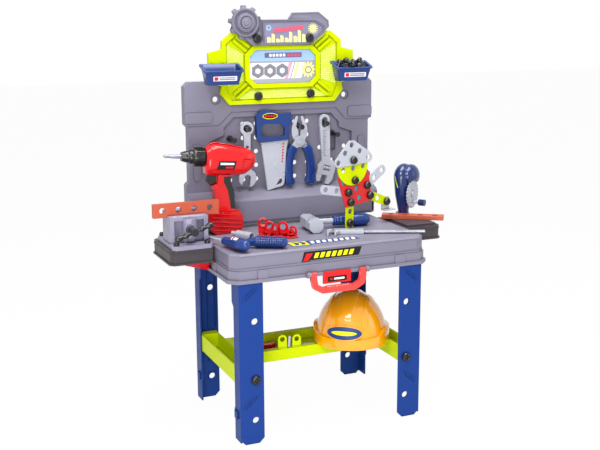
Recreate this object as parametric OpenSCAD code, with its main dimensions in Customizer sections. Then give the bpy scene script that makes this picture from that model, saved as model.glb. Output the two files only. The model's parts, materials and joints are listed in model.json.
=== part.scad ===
// Child's toy workbench: a moulded table on four angle legs, a tool panel with a sign over it,
// a tool wing at each side, a shelf between the legs, and the toy tools that lie and hang on it.
// X runs to the right as seen from the front, Y to the rear and Z up. The origin is on the
// floor, in the middle between the legs. Heights above the table are counted from its top.

/* [Bench] */
// Height of the legs, from the floor to the underside of the table
leg_h = 380; // [370:1:390]
// Height of the table case
case_h = 66; // [64:1:70]
// Width of the table case
case_w = 494; // [490:1:498]
// Depth of the table case
case_d = 322; // [318:1:326]
// Wall thickness of the moulded parts
wall = 3; // [2.6:0.1:3.4]

/* [Legs] */
// Distance from the middle to the outer face of a leg, sideways
leg_x = 231; // [228:1:233]
// Distance from the middle to the outer face of a leg, front to rear
leg_y = 160; // [158:1:161]
// Width of the wide flange of a leg
leg_front = 58; // [54:1:60]
// Width of the narrow flange of a leg
leg_side = 40; // [36:1:44]

/* [Tool panel] */
// Half the width of the tool panel
panel_x = 250; // [246:1:254]
// Height of the tool panel above the table
panel_top = 357; // [354:1:360]
// Spacing of the tool holes
hole_pitch = 34.6; // [34:0.1:35]

/* [Fasteners] */
// Radius of a toy bolt's head
head_r = 10.5; // [9.5:0.1:11]
// Radius of a toy bolt's shank
shank_r = 6.4; // [6:0.1:6.8]

/* [Vise] */
// Length of a toy plank
plank_l = 157; // [150:1:160]
// Width of a toy plank
plank_w = 32.5; // [30:0.5:34]

/* [Hidden] */
$fn = 48;
table_z = leg_h + case_h;
panel_front = 145;
sign_front = 131;
pin_gap = 0.05;
lift_gap = 0.3;

grey = "#8E8D9B";
tool_grey = "#C4C6D0";
lime = "#DCEB0A";
blue = "#1F4FA8";
red = "#F01E1E";
charcoal = "#4A4347";
black = "#18181A";

// ---------- shared shapes ----------

// Thickens an outline drawn in X and Z, from y0 at the front to y1 at the rear
module front_view(y0, y1) {
    translate([0, y1, 0]) rotate([90, 0, 0]) linear_extrude(y1 - y0) children();
}

// Thickens an outline drawn in Y and Z, from x0 to x1
module side_view(x0, x1) {
    translate([x0, 0, 0]) rotate([90, 0, 90]) linear_extrude(x1 - x0) children();
}

// Outline of a rectangle with cut corners, about the origin
module cut_rect(w, d, c) {
    polygon([[-w/2 + c, -d/2], [w/2 - c, -d/2], [w/2, -d/2 + c], [w/2, d/2 - c],
        [w/2 - c, d/2], [-w/2 + c, d/2], [-w/2, d/2 - c], [-w/2, -d/2 + c]]);
}

// Outline of a rectangle with round corners, about the origin
module round_rect(w, d, r) {
    square([w - 2*r, d], center = true);
    square([w, d - 2*r], center = true);
    for (x = [-1, 1], y = [-1, 1]) translate([x*(w/2 - r), y*(d/2 - r)]) circle(r);
}

// Outline of a straight strip with round ends, from point a to point b
module strip_outline(a, b, w) {
    v = b - a;
    for (p = [a, b]) translate(p) circle(d = w);
    translate(a) rotate(atan2(v[1], v[0])) translate([0, 0.06 - w/2])
        square([norm(v), w - 0.12]);
}

// Disc or rod whose axis runs front to rear
module rod_y(r, y0, y1) {
    translate([0, y1, 0]) rotate([90, 0, 0]) cylinder(r = r, h = y1 - y0);
}

// Disc or rod whose axis runs left to right
module rod_x(r, x0, x1) {
    translate([x0, 0, 0]) rotate([0, 90, 0]) cylinder(r = r, h = x1 - x0);
}

// Toy bolt with a crossed head: its head rests on z = 0 and its shank points down
module toy_bolt(shank, head = head_r, body = shank_r) {
    difference() {
        rotate_extrude() polygon([[0, -shank], [body, -shank], [body, 0], [head, 0],
            [head, 5], [head - 2, 8], [0, 8]]);
        for (a = [0, 90]) rotate(a) translate([-head*0.62, -1.7, 5.2]) cube([head*1.24, 3.4, 4]);
    }
}

// The same bolt driven in from the front, its head in front of the face at y
module front_bolt(x, y, z, shank) {
    translate([x, y, z]) rotate([90, 0, 0]) toy_bolt(shank);
}

// ---------- legs and shelf ----------

leg_wall = 3.5;
foot_cut = 12;
peep_z = [56, 290];
peep_r = 8;
peep_x = 38;
shelf_bolt_z = 153;

// One angle leg with its corner at the origin, its wide flange along +X and its narrow one along +Y
module angle_leg() {
    difference() {
        union() {
            front_view(0, leg_wall) polygon([[foot_cut, 0], [leg_front - foot_cut, 0],
                [leg_front, foot_cut], [leg_front, leg_h], [0, leg_h], [0, foot_cut]]);
            side_view(0, leg_wall) polygon([[0, foot_cut/2], [leg_side - 4, foot_cut/2],
                [leg_side - 4, 60], [leg_side, 64], [leg_side, 76], [leg_side - 5, 84],
                [leg_side - 5, 320], [leg_side + 6, 330], [leg_side + 6, leg_h], [0, leg_h]]);
            translate([-4, 14, 60]) cube([4, 16, 18]);
            for (x = [14, 30, 50], z = [[96, 38], [182, 184]])
                translate([x, leg_wall, z[0]]) cube([2, 4, z[1]]);
            for (z = peep_z) translate([peep_x, 0, z]) rod_y(peep_r + 3, leg_wall, leg_wall + 3);
        }
        for (z = peep_z) translate([peep_x, 0, z]) rod_y(peep_r, -1, 20);
        translate([peep_x, 0, shelf_bolt_z]) rod_y(shank_r + 0.1, -1, 20);
        for (z = [98, 352], k = [0:2]) translate([16 + 9*k, -1, z - 14 + 8*k])
            rotate([0, -52, 0]) cube([20, 1.8, 2.6]);
    }
}

module leg_front_left() color(blue) translate([-leg_x, -leg_y, 0]) angle_leg();
module leg_front_right() color(blue) translate([leg_x, -leg_y, 0]) mirror([1, 0, 0]) angle_leg();
module leg_rear_left() color(blue) translate([-leg_x, leg_y, 0]) mirror([0, 1, 0]) angle_leg();
module leg_rear_right() color(blue)
    translate([leg_x, leg_y, 0]) mirror([1, 0, 0]) mirror([0, 1, 0]) angle_leg();

beam_out = leg_x - leg_wall;
beam_in = 183;
beam_y = leg_y - leg_wall;
beam_z = 138;
beam_top = 178.5;
tray_front = -58;
tray_rear = 75;
tray_z = 152;
tray_top = 179;
tray_rim = 16;

// H-shaped shelf: a hollow beam along each side and a tray between them
module shelf() color(lime) {
    difference() {
        union() {
            for (s = [-1, 1]) translate([s*(beam_out + beam_in)/2, 0, 0]) side_beam();
            translate([-beam_in, tray_front, tray_z])
                cube([2*beam_in, tray_rear - tray_front, tray_top - tray_z]);
        }
        translate([-beam_in + 14, tray_front + tray_rim, tray_z + wall])
            cube([2*beam_in - 28, tray_rear - tray_front - 2*tray_rim, tray_top]);
        translate([-beam_in + 14, tray_front + wall, tray_z - 1])
            cube([2*beam_in - 28, tray_rim - 2*wall, tray_top - tray_z - wall + 1]);
        for (s = [-1, 1], y = [-1, 1]) translate([s*(leg_x - peep_x), 0, shelf_bolt_z])
            rod_y(shank_r + 0.1, y*beam_y - 30, y*beam_y + 30);
    }
}

// Side beam of the shelf, open on top, its ends low where they meet the legs
module side_beam() {
    w = beam_out - beam_in;
    difference() {
        side_view(-w/2, w/2) polygon([[-beam_y, beam_z], [beam_y, beam_z], [beam_y, beam_top - 8],
            [beam_y - 8, beam_top], [8 - beam_y, beam_top], [-beam_y, beam_top - 8]]);
        translate([0, 0, beam_z + wall]) linear_extrude(80)
            round_rect(w - 2*wall, 2*beam_y - 64, 6);
    }
}

// ---------- table ----------

case_cut = 20;
rib_step = 80;
slot_x = 200;
slot_w = 26;

module tabletop() color(grey) {
    inside_w = case_w - 14;
    inside_d = case_d - 14;
    difference() {
        translate([0, 0, leg_h]) {
            linear_extrude(8) cut_rect(case_w + 8, case_d + 8, case_cut);
            linear_extrude(28) cut_rect(case_w, case_d, case_cut);
            linear_extrude(33) cut_rect(case_w - 4, case_d - 4, case_cut);
            linear_extrude(case_h - 4) cut_rect(case_w - 6, case_d - 6, case_cut);
            hull() {
                translate([0, 0, case_h - 5]) linear_extrude(1)
                    cut_rect(case_w - 6, case_d - 6, case_cut);
                translate([0, 0, case_h - 1]) linear_extrude(1)
                    cut_rect(case_w - 16, case_d - 16, case_cut - 3);
            }
            for (s = [-1, 1]) translate([s*172 - 13, -case_d/2 - 2, 6]) cube([26, 10, 22]);
            for (s = [-1, 1]) translate([s*(case_w/2 - 8) - 10, -60, 6]) cube([20, 26, 22]);
        }
        translate([0, 0, leg_h - 1]) linear_extrude(case_h - wall + 1)
            cut_rect(inside_w, inside_d, case_cut - 4);
        translate([-225, -case_d/2 - 1, leg_h + 34]) cube([447, 5.2, 27]);
        for (s = [-1, 1]) translate([s*case_w/2 - 4.2, -126, leg_h + 34]) cube([8.4, 252, 27]);
        for (s = [-1, 1]) translate([s*slot_x - slot_w/2, 143, table_z - 12])
            cube([slot_w, 8, 14]);
    }
    for (x = [-2:2]) translate([x*rib_step - 1, -inside_d/2 - 1, leg_h + 20])
        cube([2, inside_d + 2, case_h - wall - 20]);
    for (y = [-1:1]) translate([-inside_w/2 - 1, y*rib_step - 1, leg_h + 20])
        cube([inside_w + 2, 2, case_h - wall - 20]);
    for (s = [-1, 1]) translate([hinge_x + s*hinge_span, 0, 0]) handle_lug(s);
}

// ---------- carry handle ----------

hinge_x = 7;
hinge_span = 73.5;
hinge_y = -case_d/2 - 11;
hinge_z = leg_h + 6;
hinge_r = 3;

// Lug on the front rim that holds one pin of the carry handle
module handle_lug(s) {
    difference() {
        side_view(-4, 4) union() {
            translate([hinge_y, hinge_z]) circle(6.5);
            translate([hinge_y, hinge_z - 6.5]) square([8, 8.5]);
        }
        translate([0, hinge_y, hinge_z]) rod_x(hinge_r + pin_gap, -5, 5);
    }
}

// Half-round handle arm path, as [x, z] below the hinge
arm_x = 62;
arm_pts = [[arm_x, -7], [arm_x, -12], [arm_x - 4, -28], [arm_x - 22, -38], [0, -38]];

module carry_handle() color("#FA4A42") translate([hinge_x, hinge_y, hinge_z]) {
    for (s = [-1, 1]) {
        rod_x(5.2, s*arm_x - 7, s*arm_x + 7);
        translate([s*(arm_x + 6), 0, 0]) rod_x(hinge_r, -hinge_span + arm_x + 2, hinge_span - arm_x - 2);
    }
    front_view(-5.6, 5) {
        for (s = [-1, 1], i = [0:len(arm_pts) - 2])
            strip_outline([s*arm_pts[i][0], arm_pts[i][1]], [s*arm_pts[i + 1][0], arm_pts[i + 1][1]], 14);
    }
    translate([0, 0, -38]) rod_x(8, -30, 30);
}

module latch_plate() color(red) {
    front_view(-case_d/2 - 5.2, -case_d/2 - 1.2) polygon([[hinge_x - 35, leg_h - 20],
        [hinge_x + 35, leg_h - 20], [hinge_x + 35, leg_h], [hinge_x - 35, leg_h]]);
    translate([hinge_x - 35, -case_d/2 - 5.2, leg_h]) cube([70, 1.2, 9]);
}

// ---------- tool panel ----------

ledge_front = 104;
recess_y = 153;

// Outline of the panel, drawn in by the inset i
function panel_outline(i) = let (x = panel_x - i, t = panel_top - i) [[-x, 9], [x, 9], [x, 109],
    [x - 8, 116], [x - 8, 248], [x, 256], [x, t - 11], [x - 12, t], [12 - x, t], [-x, t - 11],
    [-x, 256], [8 - x, 248], [8 - x, 116], [-x, 109]];

// Outline of the sunk tool field, drawn outward by the amount g
function field_outline(g) = [[-188 - g, 60], [196 + g, 60], [196 + g, 219 + g/2],
    [160 + g, 232 + g/2], [160 + g, 244 + g/2], [136 + g/2, 269 + g], [-126 - g/2, 269 + g],
    [-152 - g, 244 + g/2], [-152 - g, 226 + g/2], [-188 - g, 212 + g/2]];

// Part of the panel above the stepped line
upper_outline = [[-panel_x, 252], [-165, 252], [-132, 282], [150, 282], [177, 252],
    [panel_x, 252], [panel_x, panel_top - 11], [panel_x - 12, panel_top],
    [12 - panel_x, panel_top], [-panel_x, panel_top - 11]];

module back_panel() color(grey) translate([0, 0, table_z]) {
    difference() {
        union() {
            front_view(panel_front, panel_front + 4) difference() {
                polygon(panel_outline(0));
                polygon(field_outline(0));
            }
            front_view(panel_front, recess_y + wall) difference() {
                polygon(field_outline(wall));
                polygon(field_outline(0));
            }
            front_view(recess_y, recess_y + wall) polygon(field_outline(1));
            front_view(panel_front, 167) difference() {
                polygon(panel_outline(0));
                polygon(panel_outline(wall));
            }
            front_view(panel_front - 3, panel_front) polygon(upper_outline);
            for (s = [-1, 1]) front_view(panel_front - 6, panel_front)
                translate([s*216, 271]) round_rect(68, 26, 6);
            for (s = [-1, 1]) front_view(panel_front - 3, panel_front)
                translate([s*222, 163]) round_rect(18, 88, 5);
            for (z = [60, 160, 300]) translate([-panel_x + 9, recess_y + wall, z])
                cube([2*panel_x - 18, 9, 2.4]);
            for (x = [-150, -50, 50, 150]) translate([x, recess_y + wall, 60])
                cube([2.4, 9, panel_top - 62]);
            translate(slot_at) front_view(recess_y, recess_y + 12) round_rect(21, 45, 7);
            ledge();
            for (s = [-1, 1]) translate([s*slot_x - slot_w/2 + 0.1, 143.1, -9])
                cube([slot_w - 0.2, 7.8, 20]);
        }
        for (c = [0:9], r = [0:4]) if (is_tool_hole(c, r)) translate(hole_place(c, r))
            rod_y(5.5, 0, 60);
        for (k = [0, 1]) translate([sign_bolts[k][0], 0, sign_bolts[k][1]])
            rod_y(shank_r + 0.1, 100, 200);
        for (s = [-1, 1]) translate([s*172, 0, 314]) {
            rod_y(6.5, 100, 200);
            rod_y(12.5, 100, panel_front);
        }
        translate(slot_at) front_view(100, recess_y + 9.5) round_rect(16, 40, 5.4);
    }
}

function hole_place(c, r) = [-134.4 + c*hole_pitch, 110, 112 + r*hole_pitch];
function is_tool_hole(c, r) = !(c == 8 && r == 2) && !(r == 4 && (c < 1 || c > 6 || c == 3))
    && !(r == 3 && (c == 3 || c == 4 || c == 7 || c == 9)) && !(r == 1 && c == 7);
slot_at = [146, 0, 190.5];

// Hollow ledge along the foot of the panel, which the hanging tools stand on
module ledge() {
    f = ledge_front;
    difference() {
        side_view(-panel_x, panel_x) polygon([[f + 5, 9], [recess_y, 9], [recess_y, 93],
            [f + 5, 73], [f, 66], [f, 16]]);
        side_view(wall - panel_x, panel_x - wall) polygon([[f + 7, 12], [170, 12], [170, 84],
            [f + 7, 69], [f + 3, 63], [f + 3, 17]]);
        for (s = [-1, 1]) translate([s*panel_x, f, 0]) rotate(s*45)
            translate([-12, -12, 0]) cube([24, 24, 60]);
    }
    for (x = [-150, -50, 50, 150]) side_view(x, x + 2.4) polygon([[f + 2, 12], [recess_y, 12],
        [recess_y, 90], [f + 7, 70], [f + 2, 64]]);
}

// Places of the hooks, as [x, z] above the table
peg_places = [[-134.4, 215.8], [142.4, 215.8], [-96.3, 241], [44, 239.5], [113, 245]];

module pegs() color(black) translate([0, 0, table_z]) for (p = peg_places) translate([p[0], 0, p[1]]) {
    rod_y(8, recess_y - 3, recess_y);
    rod_y(4, 118, recess_y - 3);
    rod_y(6.2, 114, 119);
}

// ---------- sign, header and bins ----------

sign_back = 142;
sign_outline = [[-129, 474], [-157, 452], [-157, 433], [-191, 425], [-191, 352], [-159, 346],
    [-163, 328], [-140, 300], [140, 300], [163, 328], [159, 346], [191, 352], [191, 425],
    [157, 433], [157, 452], [129, 474]];
sign_inner = [[-124, 464], [-147, 445], [-147, 339], [-134, 310], [134, 310], [147, 339],
    [147, 445], [124, 464]];
window_z = 389;

// Places of the bolts through the sign, as [x, z] above the table: two low ones, two in the header
sign_bolts = [[-66, 319], [73, 321], [-70.6, 456.6], [67, 458]];

module sign_frame() color(lime) translate([0, 0, table_z]) {
    difference() {
        union() {
            front_view(135, sign_back) polygon(sign_outline);
            front_view(sign_front, 136) difference() {
                polygon(sign_outline);
                polygon(sign_inner);
            }
            front_view(sign_front - 2, 136) translate([0, window_z]) cut_rect(198, 101.6, 20);
            for (sx = [-1, 1], sz = [-1, 1]) translate([sx*108, 0, window_z + sz*56])
                rotate([0, -sx*sz*38, 0]) for (k = [-1, 1]) translate([0, 0, 6*k])
                    front_view(sign_front, 136) round_rect(44, 7, 3);
            for (s = [-1, 1]) translate([s*bin_x, 0, bin_top - 16]) {
                translate([-28, 123, 0]) cube([56, 9, 3]);
                translate([-28, 123, 0]) cube([56, 3, 12]);
            }
        }
        front_view(100, 137) translate([0, window_z]) cut_rect(174.6, 81.6, 16);
        for (p = sign_bolts) translate([p[0], 0, p[1]]) rod_y(shank_r + 0.1, 100, 160);
    }
}

module sign_plate() color("#F2F2F6") translate([0, 0, table_z]) front_view(134, 137)
    translate([0, window_z]) cut_rect(174, 81, 16);

gear_x = -101;
gear_z = 495.5;
gear_teeth = 9;
gear_tip = 40;

module header() color(grey) translate([0, 0, table_z]) difference() {
    union() {
        front_view(121, sign_front) polygon([[-80, 502], [83, 502], [109, 488], [109, 471],
            [72, 441.5], [-81, 440], [-104, 459]]);
        front_view(125, sign_front) polygon([[12, 501], [23, 518], [93, 519.5], [120, 499],
            [121.5, 484], [106, 470]]);
        translate([gear_x, 0, gear_z]) {
            rod_y(gear_tip - 8, 117, sign_front);
            for (i = [0:gear_teeth - 1]) rotate([0, i*360/gear_teeth - 4, 0])
                front_view(119, sign_front) polygon([[-7, gear_tip - 10], [7, gear_tip - 10],
                    [4.5, gear_tip], [-4.5, gear_tip]]);
            rod_y(22, 113, 120);
            rod_y(13, 109, 120);
        }
    }
    front_view(119, 123) polygon([[-52, 496], [80, 496], [102, 484], [102, 474], [69, 447],
        [-52, 446]]);
    translate([gear_x, 0, gear_z]) difference() {
        rod_y(29, 110, 119);
        rod_y(24, 100, 130);
    }
    for (k = [2, 3]) translate([sign_bolts[k][0], 0, sign_bolts[k][1]])
        rod_y(shank_r + 0.1, 100, 160);
    translate([sign_bolts[3][0], 0, sign_bolts[3][1]]) rod_y(head_r + 0.3, 100, 123.1);
}

module cross_bolts() color(black) {
    for (s = [-1, 1]) {
        front_bolt(s*(leg_x - peep_x), -leg_y, shelf_bolt_z, 24);
        translate([s*(leg_x - peep_x), leg_y, shelf_bolt_z]) rotate([-90, 0, 0]) toy_bolt(24);
    }
    for (k = [0:3]) front_bolt(sign_bolts[k][0], k < 2 ? sign_front : 121 + 2*(k - 2),
        table_z + sign_bolts[k][1], k < 2 ? 17 : 25 - 2*(k - 2));
    for (x = vise_bolt_x, y = vise_bolt_y) translate([x, y, table_z + 6]) toy_bolt(9, 7, 4);
}

bin_x = 170;
bin_w = 101;
bin_top = 400;
bin_h = 48;
bin_y0 = 76;
bin_y1 = 119;

rim_drop = 15;

// Slab under the bins' rim plane, which falls to the front, its top reaching up to h above it
module rim_slab(w, depth, r, h0, h1) translate([0, (bin_y0 + bin_y1)/2, bin_top])
    multmatrix([[1, 0, 0, 0], [0, 1, 0, 0],
        [0, rim_drop/(bin_y1 - bin_y0), 1, -rim_drop/2], [0, 0, 0, 1]])
        translate([0, 0, h0]) linear_extrude(h1 - h0) round_rect(w, depth, r);

// Parts bin about x = 0, hooked over the rail on the sign's wing
module parts_bin() translate([0, 0, table_z]) {
    d = bin_y1 - bin_y0;
    mid = (bin_y0 + bin_y1)/2;
    difference() {
        union() {
            hull() {
                rim_slab(bin_w - 8, d, 6, -2, 0);
                translate([0, mid + 1.5, bin_top - bin_h]) linear_extrude(2)
                    round_rect(bin_w - 24, d - 9, 6);
            }
            rim_slab(bin_w, d + 4, 8, -3, 0);
        }
        hull() {
            rim_slab(bin_w - 12, d - 4, 5, 0, 2);
            translate([0, mid + 1.5, bin_top - bin_h + 2.4]) linear_extrude(1)
                round_rect(bin_w - 28, d - 13, 5);
        }
        translate([-bin_w, bin_y1 + 0.5, bin_top - 40]) cube([2*bin_w, 20, 44]);
    }
    for (x = [-20, 8]) translate([x, 0, 0]) {
        translate([0, bin_y1 - 1, bin_top - 3.7]) cube([12, 10.4, 3.7]);
        translate([0, bin_y1 + 7.6, bin_top - 11]) cube([12, 1.8, 11]);
    }
}

module bin_left() color(blue) translate([-bin_x, 0, 0]) parts_bin();
module bin_right() color(blue) translate([bin_x, 0, 0]) parts_bin();

// Small loose bolt lying at a given turn and tilt
module loose_bolt(p, turn, tilt, shank = 18) translate(p) rotate([0, tilt, turn]) toy_bolt(shank, 8, 5);

module bin_left_bolts() color(black) translate([-bin_x, 97, table_z + bin_top - bin_h]) {
    loose_bolt([-17, -4, 11.4], 15, 88);
    loose_bolt([1, 8, 11.4], 165, 88);
    loose_bolt([21, -2, 11.4], 195, 86, 12);
}

module bin_right_bolts() color(black) translate([bin_x, 97, table_z + bin_top - bin_h]) {
    for (i = [0:3]) {
        loose_bolt([-27 + 18*i, -5, 23], 10 + 25*i, 172, 10);
        loose_bolt([-30 + 19*i, 6, 43 + 4*(i % 2)], 8 + 170*i, 24 + 6*i, 18);
    }
    for (i = [0:2]) loose_bolt([-20 + 20*i, -7, 35 + 3*(i % 2)], 250 - 40*i, 70, 12);
}

// ---------- wings, braces, vise and planks ----------

wing_in = case_w/2 + 0.5;
wing_out = 352;
wing_front = -52;
wing_rear = 103;
wing_h = 34;
wing_top = -4;
pad_top = 1;

// Outline of a wing from above, its inner edge towards the table, drawn in by i
function wing_outline(i) = [[wing_in + i, wing_front + i], [wing_out - 10 - i/2, wing_front + i],
    [wing_out - i, wing_front + 10 + i/2], [wing_out - i, wing_rear - 10 - i/2],
    [wing_out - 10 - i/2, wing_rear - i], [wing_in + i, wing_rear - i]];

module wing() translate([0, 0, table_z + wing_top - wing_h]) {
    difference() {
        union() {
            linear_extrude(wing_h) polygon(wing_outline(3));
            linear_extrude(4) polygon(wing_outline(0));
            translate([0, 0, wing_h - 9]) linear_extrude(3) polygon(wing_outline(1.8));
        }
        translate([0, 0, -1]) linear_extrude(wing_h - wall + 1) polygon(wing_outline(6));
    }
    for (y = [-12, 27, 66]) translate([wing_in + 4, y, 6]) cube([wing_out - wing_in - 9, 2, wing_h - 8]);
    translate([wing_in - 2, wing_front + 20, 0]) cube([6, wing_rear - wing_front - 40, 3]);
}

module wing_left() color(charcoal) mirror([1, 0, 0]) wing();
module wing_right() color(charcoal) {
    wing();
    translate([0, 0, table_z + wing_top - 1]) linear_extrude(pad_top - wing_top + 1)
        polygon(wing_outline(11));
}

brace_y = [-22, 40];

// Braces below the wings, each with a hook on the table's rim
module wing_braces() color(red) for (s = [-1, 1]) mirror([s < 0 ? 1 : 0, 0, 0])
    for (y = brace_y) front_view(y, y + 24) translate([0, table_z + wing_top - wing_h])
        polygon([[case_w/2 + 5, 0], [wing_out - 34, 0], [wing_out - 44, -9],
            [case_w/2 + 10, -24], [case_w/2 + 5, -22]]);

vise_x = -296;
vise_w = 96;
vise_bolt_x = [vise_x - 37, vise_x + 36];
vise_bolt_y = [-39, 78];
jaw_w = 90;
jaw_front = -20;
jaw_rear = 4;
jaw_top = 66;
grip_z = 62.5;
plank_t = 10;
screw_x = -297;
screw_z = 38;
screw_r = 5.5;
bar_y = -60;
bar_r = 3.4;
bar_turn = 19;

module vise_base() color("#B9B9CC") translate([0, 0, table_z]) difference() {
    union() {
        translate([vise_x, 17, wing_top]) linear_extrude(6 - wing_top) cut_rect(vise_w, 132, 6);
        translate([vise_x - jaw_w/2, jaw_rear + plank_t + 0.8, 6])
            cube([jaw_w, 25.6, jaw_top + 4]);
        translate([vise_x - jaw_w/2, jaw_rear + 0.4, 6]) cube([jaw_w, plank_t + 1, grip_z - 6]);
    }
    translate([screw_x, 0, screw_z]) rod_y(screw_r + pin_gap, -10, 60);
    for (x = vise_bolt_x, y = vise_bolt_y) translate([x, y, -10]) cylinder(r = 4.1, h = 30);
}

module vise_jaw() color("#B9B9CC") translate([0, 0, table_z]) difference() {
    union() {
        translate([vise_x - jaw_w/2, jaw_front + 5, 6 + lift_gap])
            cube([jaw_w, jaw_rear - jaw_front - 5, jaw_top - 6]);
        for (x = [vise_x - jaw_w/2, vise_x + jaw_w/2 - 10])
            translate([x, jaw_front, 6 + lift_gap]) cube([10, 10, jaw_top - 6]);
        translate([vise_x - jaw_w/2, jaw_front, jaw_top - 8]) cube([jaw_w, 10, 8]);
        translate([screw_x + 3, jaw_front + 8, 18]) cylinder(r = 18, h = 44);
        translate([screw_x + 3, jaw_front + 8, 6 + lift_gap]) cylinder(r = 14, h = 20);
    }
    translate([vise_x - jaw_w/2, jaw_rear, 6]) cube([jaw_w, 20, jaw_top]);
    translate([screw_x, 0, screw_z]) rod_y(screw_r + pin_gap, -60, 60);
}

module vise_screw() color(black) translate([screw_x, 0, table_z + screw_z]) {
    rod_y(screw_r, -44, 36);
    difference() {
        rod_y(9, -68, -37);
        rotate([0, -bar_turn, 0]) translate([0, bar_y, 0]) rod_x(bar_r + pin_gap, -20, 20);
    }
}

module vise_bar() color(black) translate([screw_x, bar_y, table_z + screw_z])
    rotate([0, -bar_turn, 0]) {
        rod_x(bar_r, -40, 40);
        for (s = [-1, 1]) rotate([0, s*90, 0]) translate([0, 0, 34]) rotate_extrude()
            polygon([[0, 0], [5, 0], [6.8, 3], [6.8, 9], [5.4, 14], [0, 14]]);
    }

// Toy plank with four peg holes, lying flat about the origin
module plank(t) linear_extrude(t) difference() {
    round_rect(plank_l, plank_w, 1.6);
    for (i = [-1.5:1.5]) translate([i*37.6, 0]) circle(7);
}

module plank_left() color("#CD6440") translate([-294.5, jaw_rear + plank_t + 0.4,
    table_z + grip_z + plank_w/2 + lift_gap]) rotate([90, 0, 0]) plank(plank_t);

module plank_right() color("#CD6440") translate([312, 26, table_z + pad_top + lift_gap])
    rotate(-34) plank(plank_t);

// ---------- circular saw on the right wing ----------

saw_at = [327, 56, table_z + 59];
saw_yaw = 36;
blade_r = 36.5;
crank_at = [3, -21];
spindle_r = 4;

// Puts the saw's own frame in place: Y runs back along its spindle
module saw_frame() translate(saw_at) rotate(saw_yaw) children();

// Egg about the origin, of half sizes a, b and c
module egg(a, b, c) scale([a, b, c]) sphere(1, $fn = 36);

module saw_body() color(blue) saw_frame() difference() {
    union() {
        hull() {
            translate([-2, 24, 44]) egg(34, 24, 34);
            translate([-5, 23, 4]) egg(28, 20.6, 28);
            translate([-6, 22, -44]) cylinder(r = 14, h = 4);
        }
        translate([6, 9, 46]) egg(33, 22, 30);
        translate([-6, 22, -50]) cylinder(r = 14, h = 10);
        translate([-7, 24, pad_top - 59]) cylinder(r = 17.5, h = 10);
        rod_y(12, 1.5, 12);
    }
    rod_y(blade_r + 3, -24, 2.4);
    difference() {
        rod_y(blade_r + 3, -24, 5);
        rod_y(12, -30, 20);
    }
    rod_y(spindle_r + pin_gap, -20, 29);
}

module saw_blade() color(tool_grey) saw_frame() {
    front_view(-1, 1) {
        circle(blade_r - 3);
        for (i = [0:23]) rotate(i*15) polygon([[blade_r - 5, -4], [blade_r, -1.4],
            [blade_r, 1.4], [blade_r - 5, 4]]);
    }
    rod_y(spindle_r, -5, 28);
    rod_y(9, -4, 0);
    translate([crank_at[0], 0, crank_at[1]]) rod_y(4, -27, 0);
}

module saw_knob() color("#1B2F66") saw_frame() translate([crank_at[0], 0, crank_at[1]])
    difference() {
        rod_y(8.3, -34, -18);
        rod_y(4 + pin_gap, -27.5, -17);
    }

// ---------- drill ----------

drill_y = 76;
drill_tilt = 4.5;
barrel_at = [-226, drill_y, table_z + 186];
handle_lean = 10;

// Puts the barrel's own frame in place: X runs back along the spindle from the barrel's front
module barrel_frame() translate(barrel_at) rotate([0, drill_tilt, 0]) children();

module drill_body() color(red) {
    barrel_frame() difference() {
        union() {
            hull() {
                translate([0, 0, -1]) disc_x(24, 2);
                translate([18, 0, 8]) disc_x(25, 8);
                translate([2, 0, -21]) disc_x(18, 4);
                translate([20, 0, -26]) disc_x(17, 40);
                translate([98, 0, 1]) disc_x(21, 2);
                translate([98, 0, -23]) disc_x(15.5, 2);
            }
            hull() {
                translate([98, 0, 1]) disc_x(20.8, 2);
                translate([98, 0, -23]) disc_x(15.3, 2);
                translate([112, 0, -1]) disc_x(18.6, 2);
                translate([111, 0, -16]) disc_x(13, 2);
                translate([122, 0, -3]) disc_x(13, 2);
                translate([124, 0, -3]) disc_x(9, 2.5);
            }
        }
        rod_x(6 + pin_gap, -1, 39);
        trigger_slot();
    }
    difference() {
        front_view(drill_y - 15, drill_y + 15) drill_handle_outline();
        barrel_frame() trigger_slot();
        drill_grip_shape(1);
        barrel_frame() translate([-40, -30, -40]) cube([180, 60, 80]);
    }
}

// Disc of the drill's barrel, its axis along X and its front at x = 0
module disc_x(r, h) rotate([0, 90, 0]) cylinder(r = r, h = h, $fn = 32);

module trigger_slot() translate([3, -5.2, -68]) cube([32, 10.4, 34]);

module drill_handle_outline() translate([0, table_z]) polygon([[-196, 150], [-199, 122],
    [-212, 117], [-205, 106], [-204.5, 90], [-199, 69], [-195, 55], [-206, 53.2], [-142, 53.2],
    [-158, 58], [-157.5, 70], [-158.5, 104], [-166, 122], [-166, 150]]);

// Soft insert over the back half of the handle, its outline; w widens it across the handle
module drill_grip_shape(w) front_view(drill_y - 15.4 - w, drill_y + 15.4 + w)
    translate([0, table_z]) polygon([[-183, 138], [-183, 125], [-174, 105], [-169, 81],
        [-167, 60], [-157, 60], [-156.7, 70], [-157.7, 104], [-165.2, 122], [-165.2, 138]]);

module drill_grip() color(black) drill_grip_shape(0);

module drill_trigger() color(black) barrel_frame() front_view(-4.8, 4.8)
    polygon([[9, -37], [6, -48], [9, -60], [15, -64], [28, -64], [28, -37]]);

module drill_battery() color(red) difference() {
    front_view(drill_y - 22, drill_y + 22) translate([0, table_z + lift_gap]) polygon([[-206, 0],
        [-152, 0], [-139, 11], [-138, 38], [-146, 53 - lift_gap], [-225, 53 - lift_gap], [-218, 8]]);
    for (k = [0:3], s = [-1, 1]) translate([-232, drill_y + s*22 - 1.2, table_z + 10 + 10*k])
        rotate([0, 8, 0]) cube([110, 2.4, 3]);
}

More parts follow.
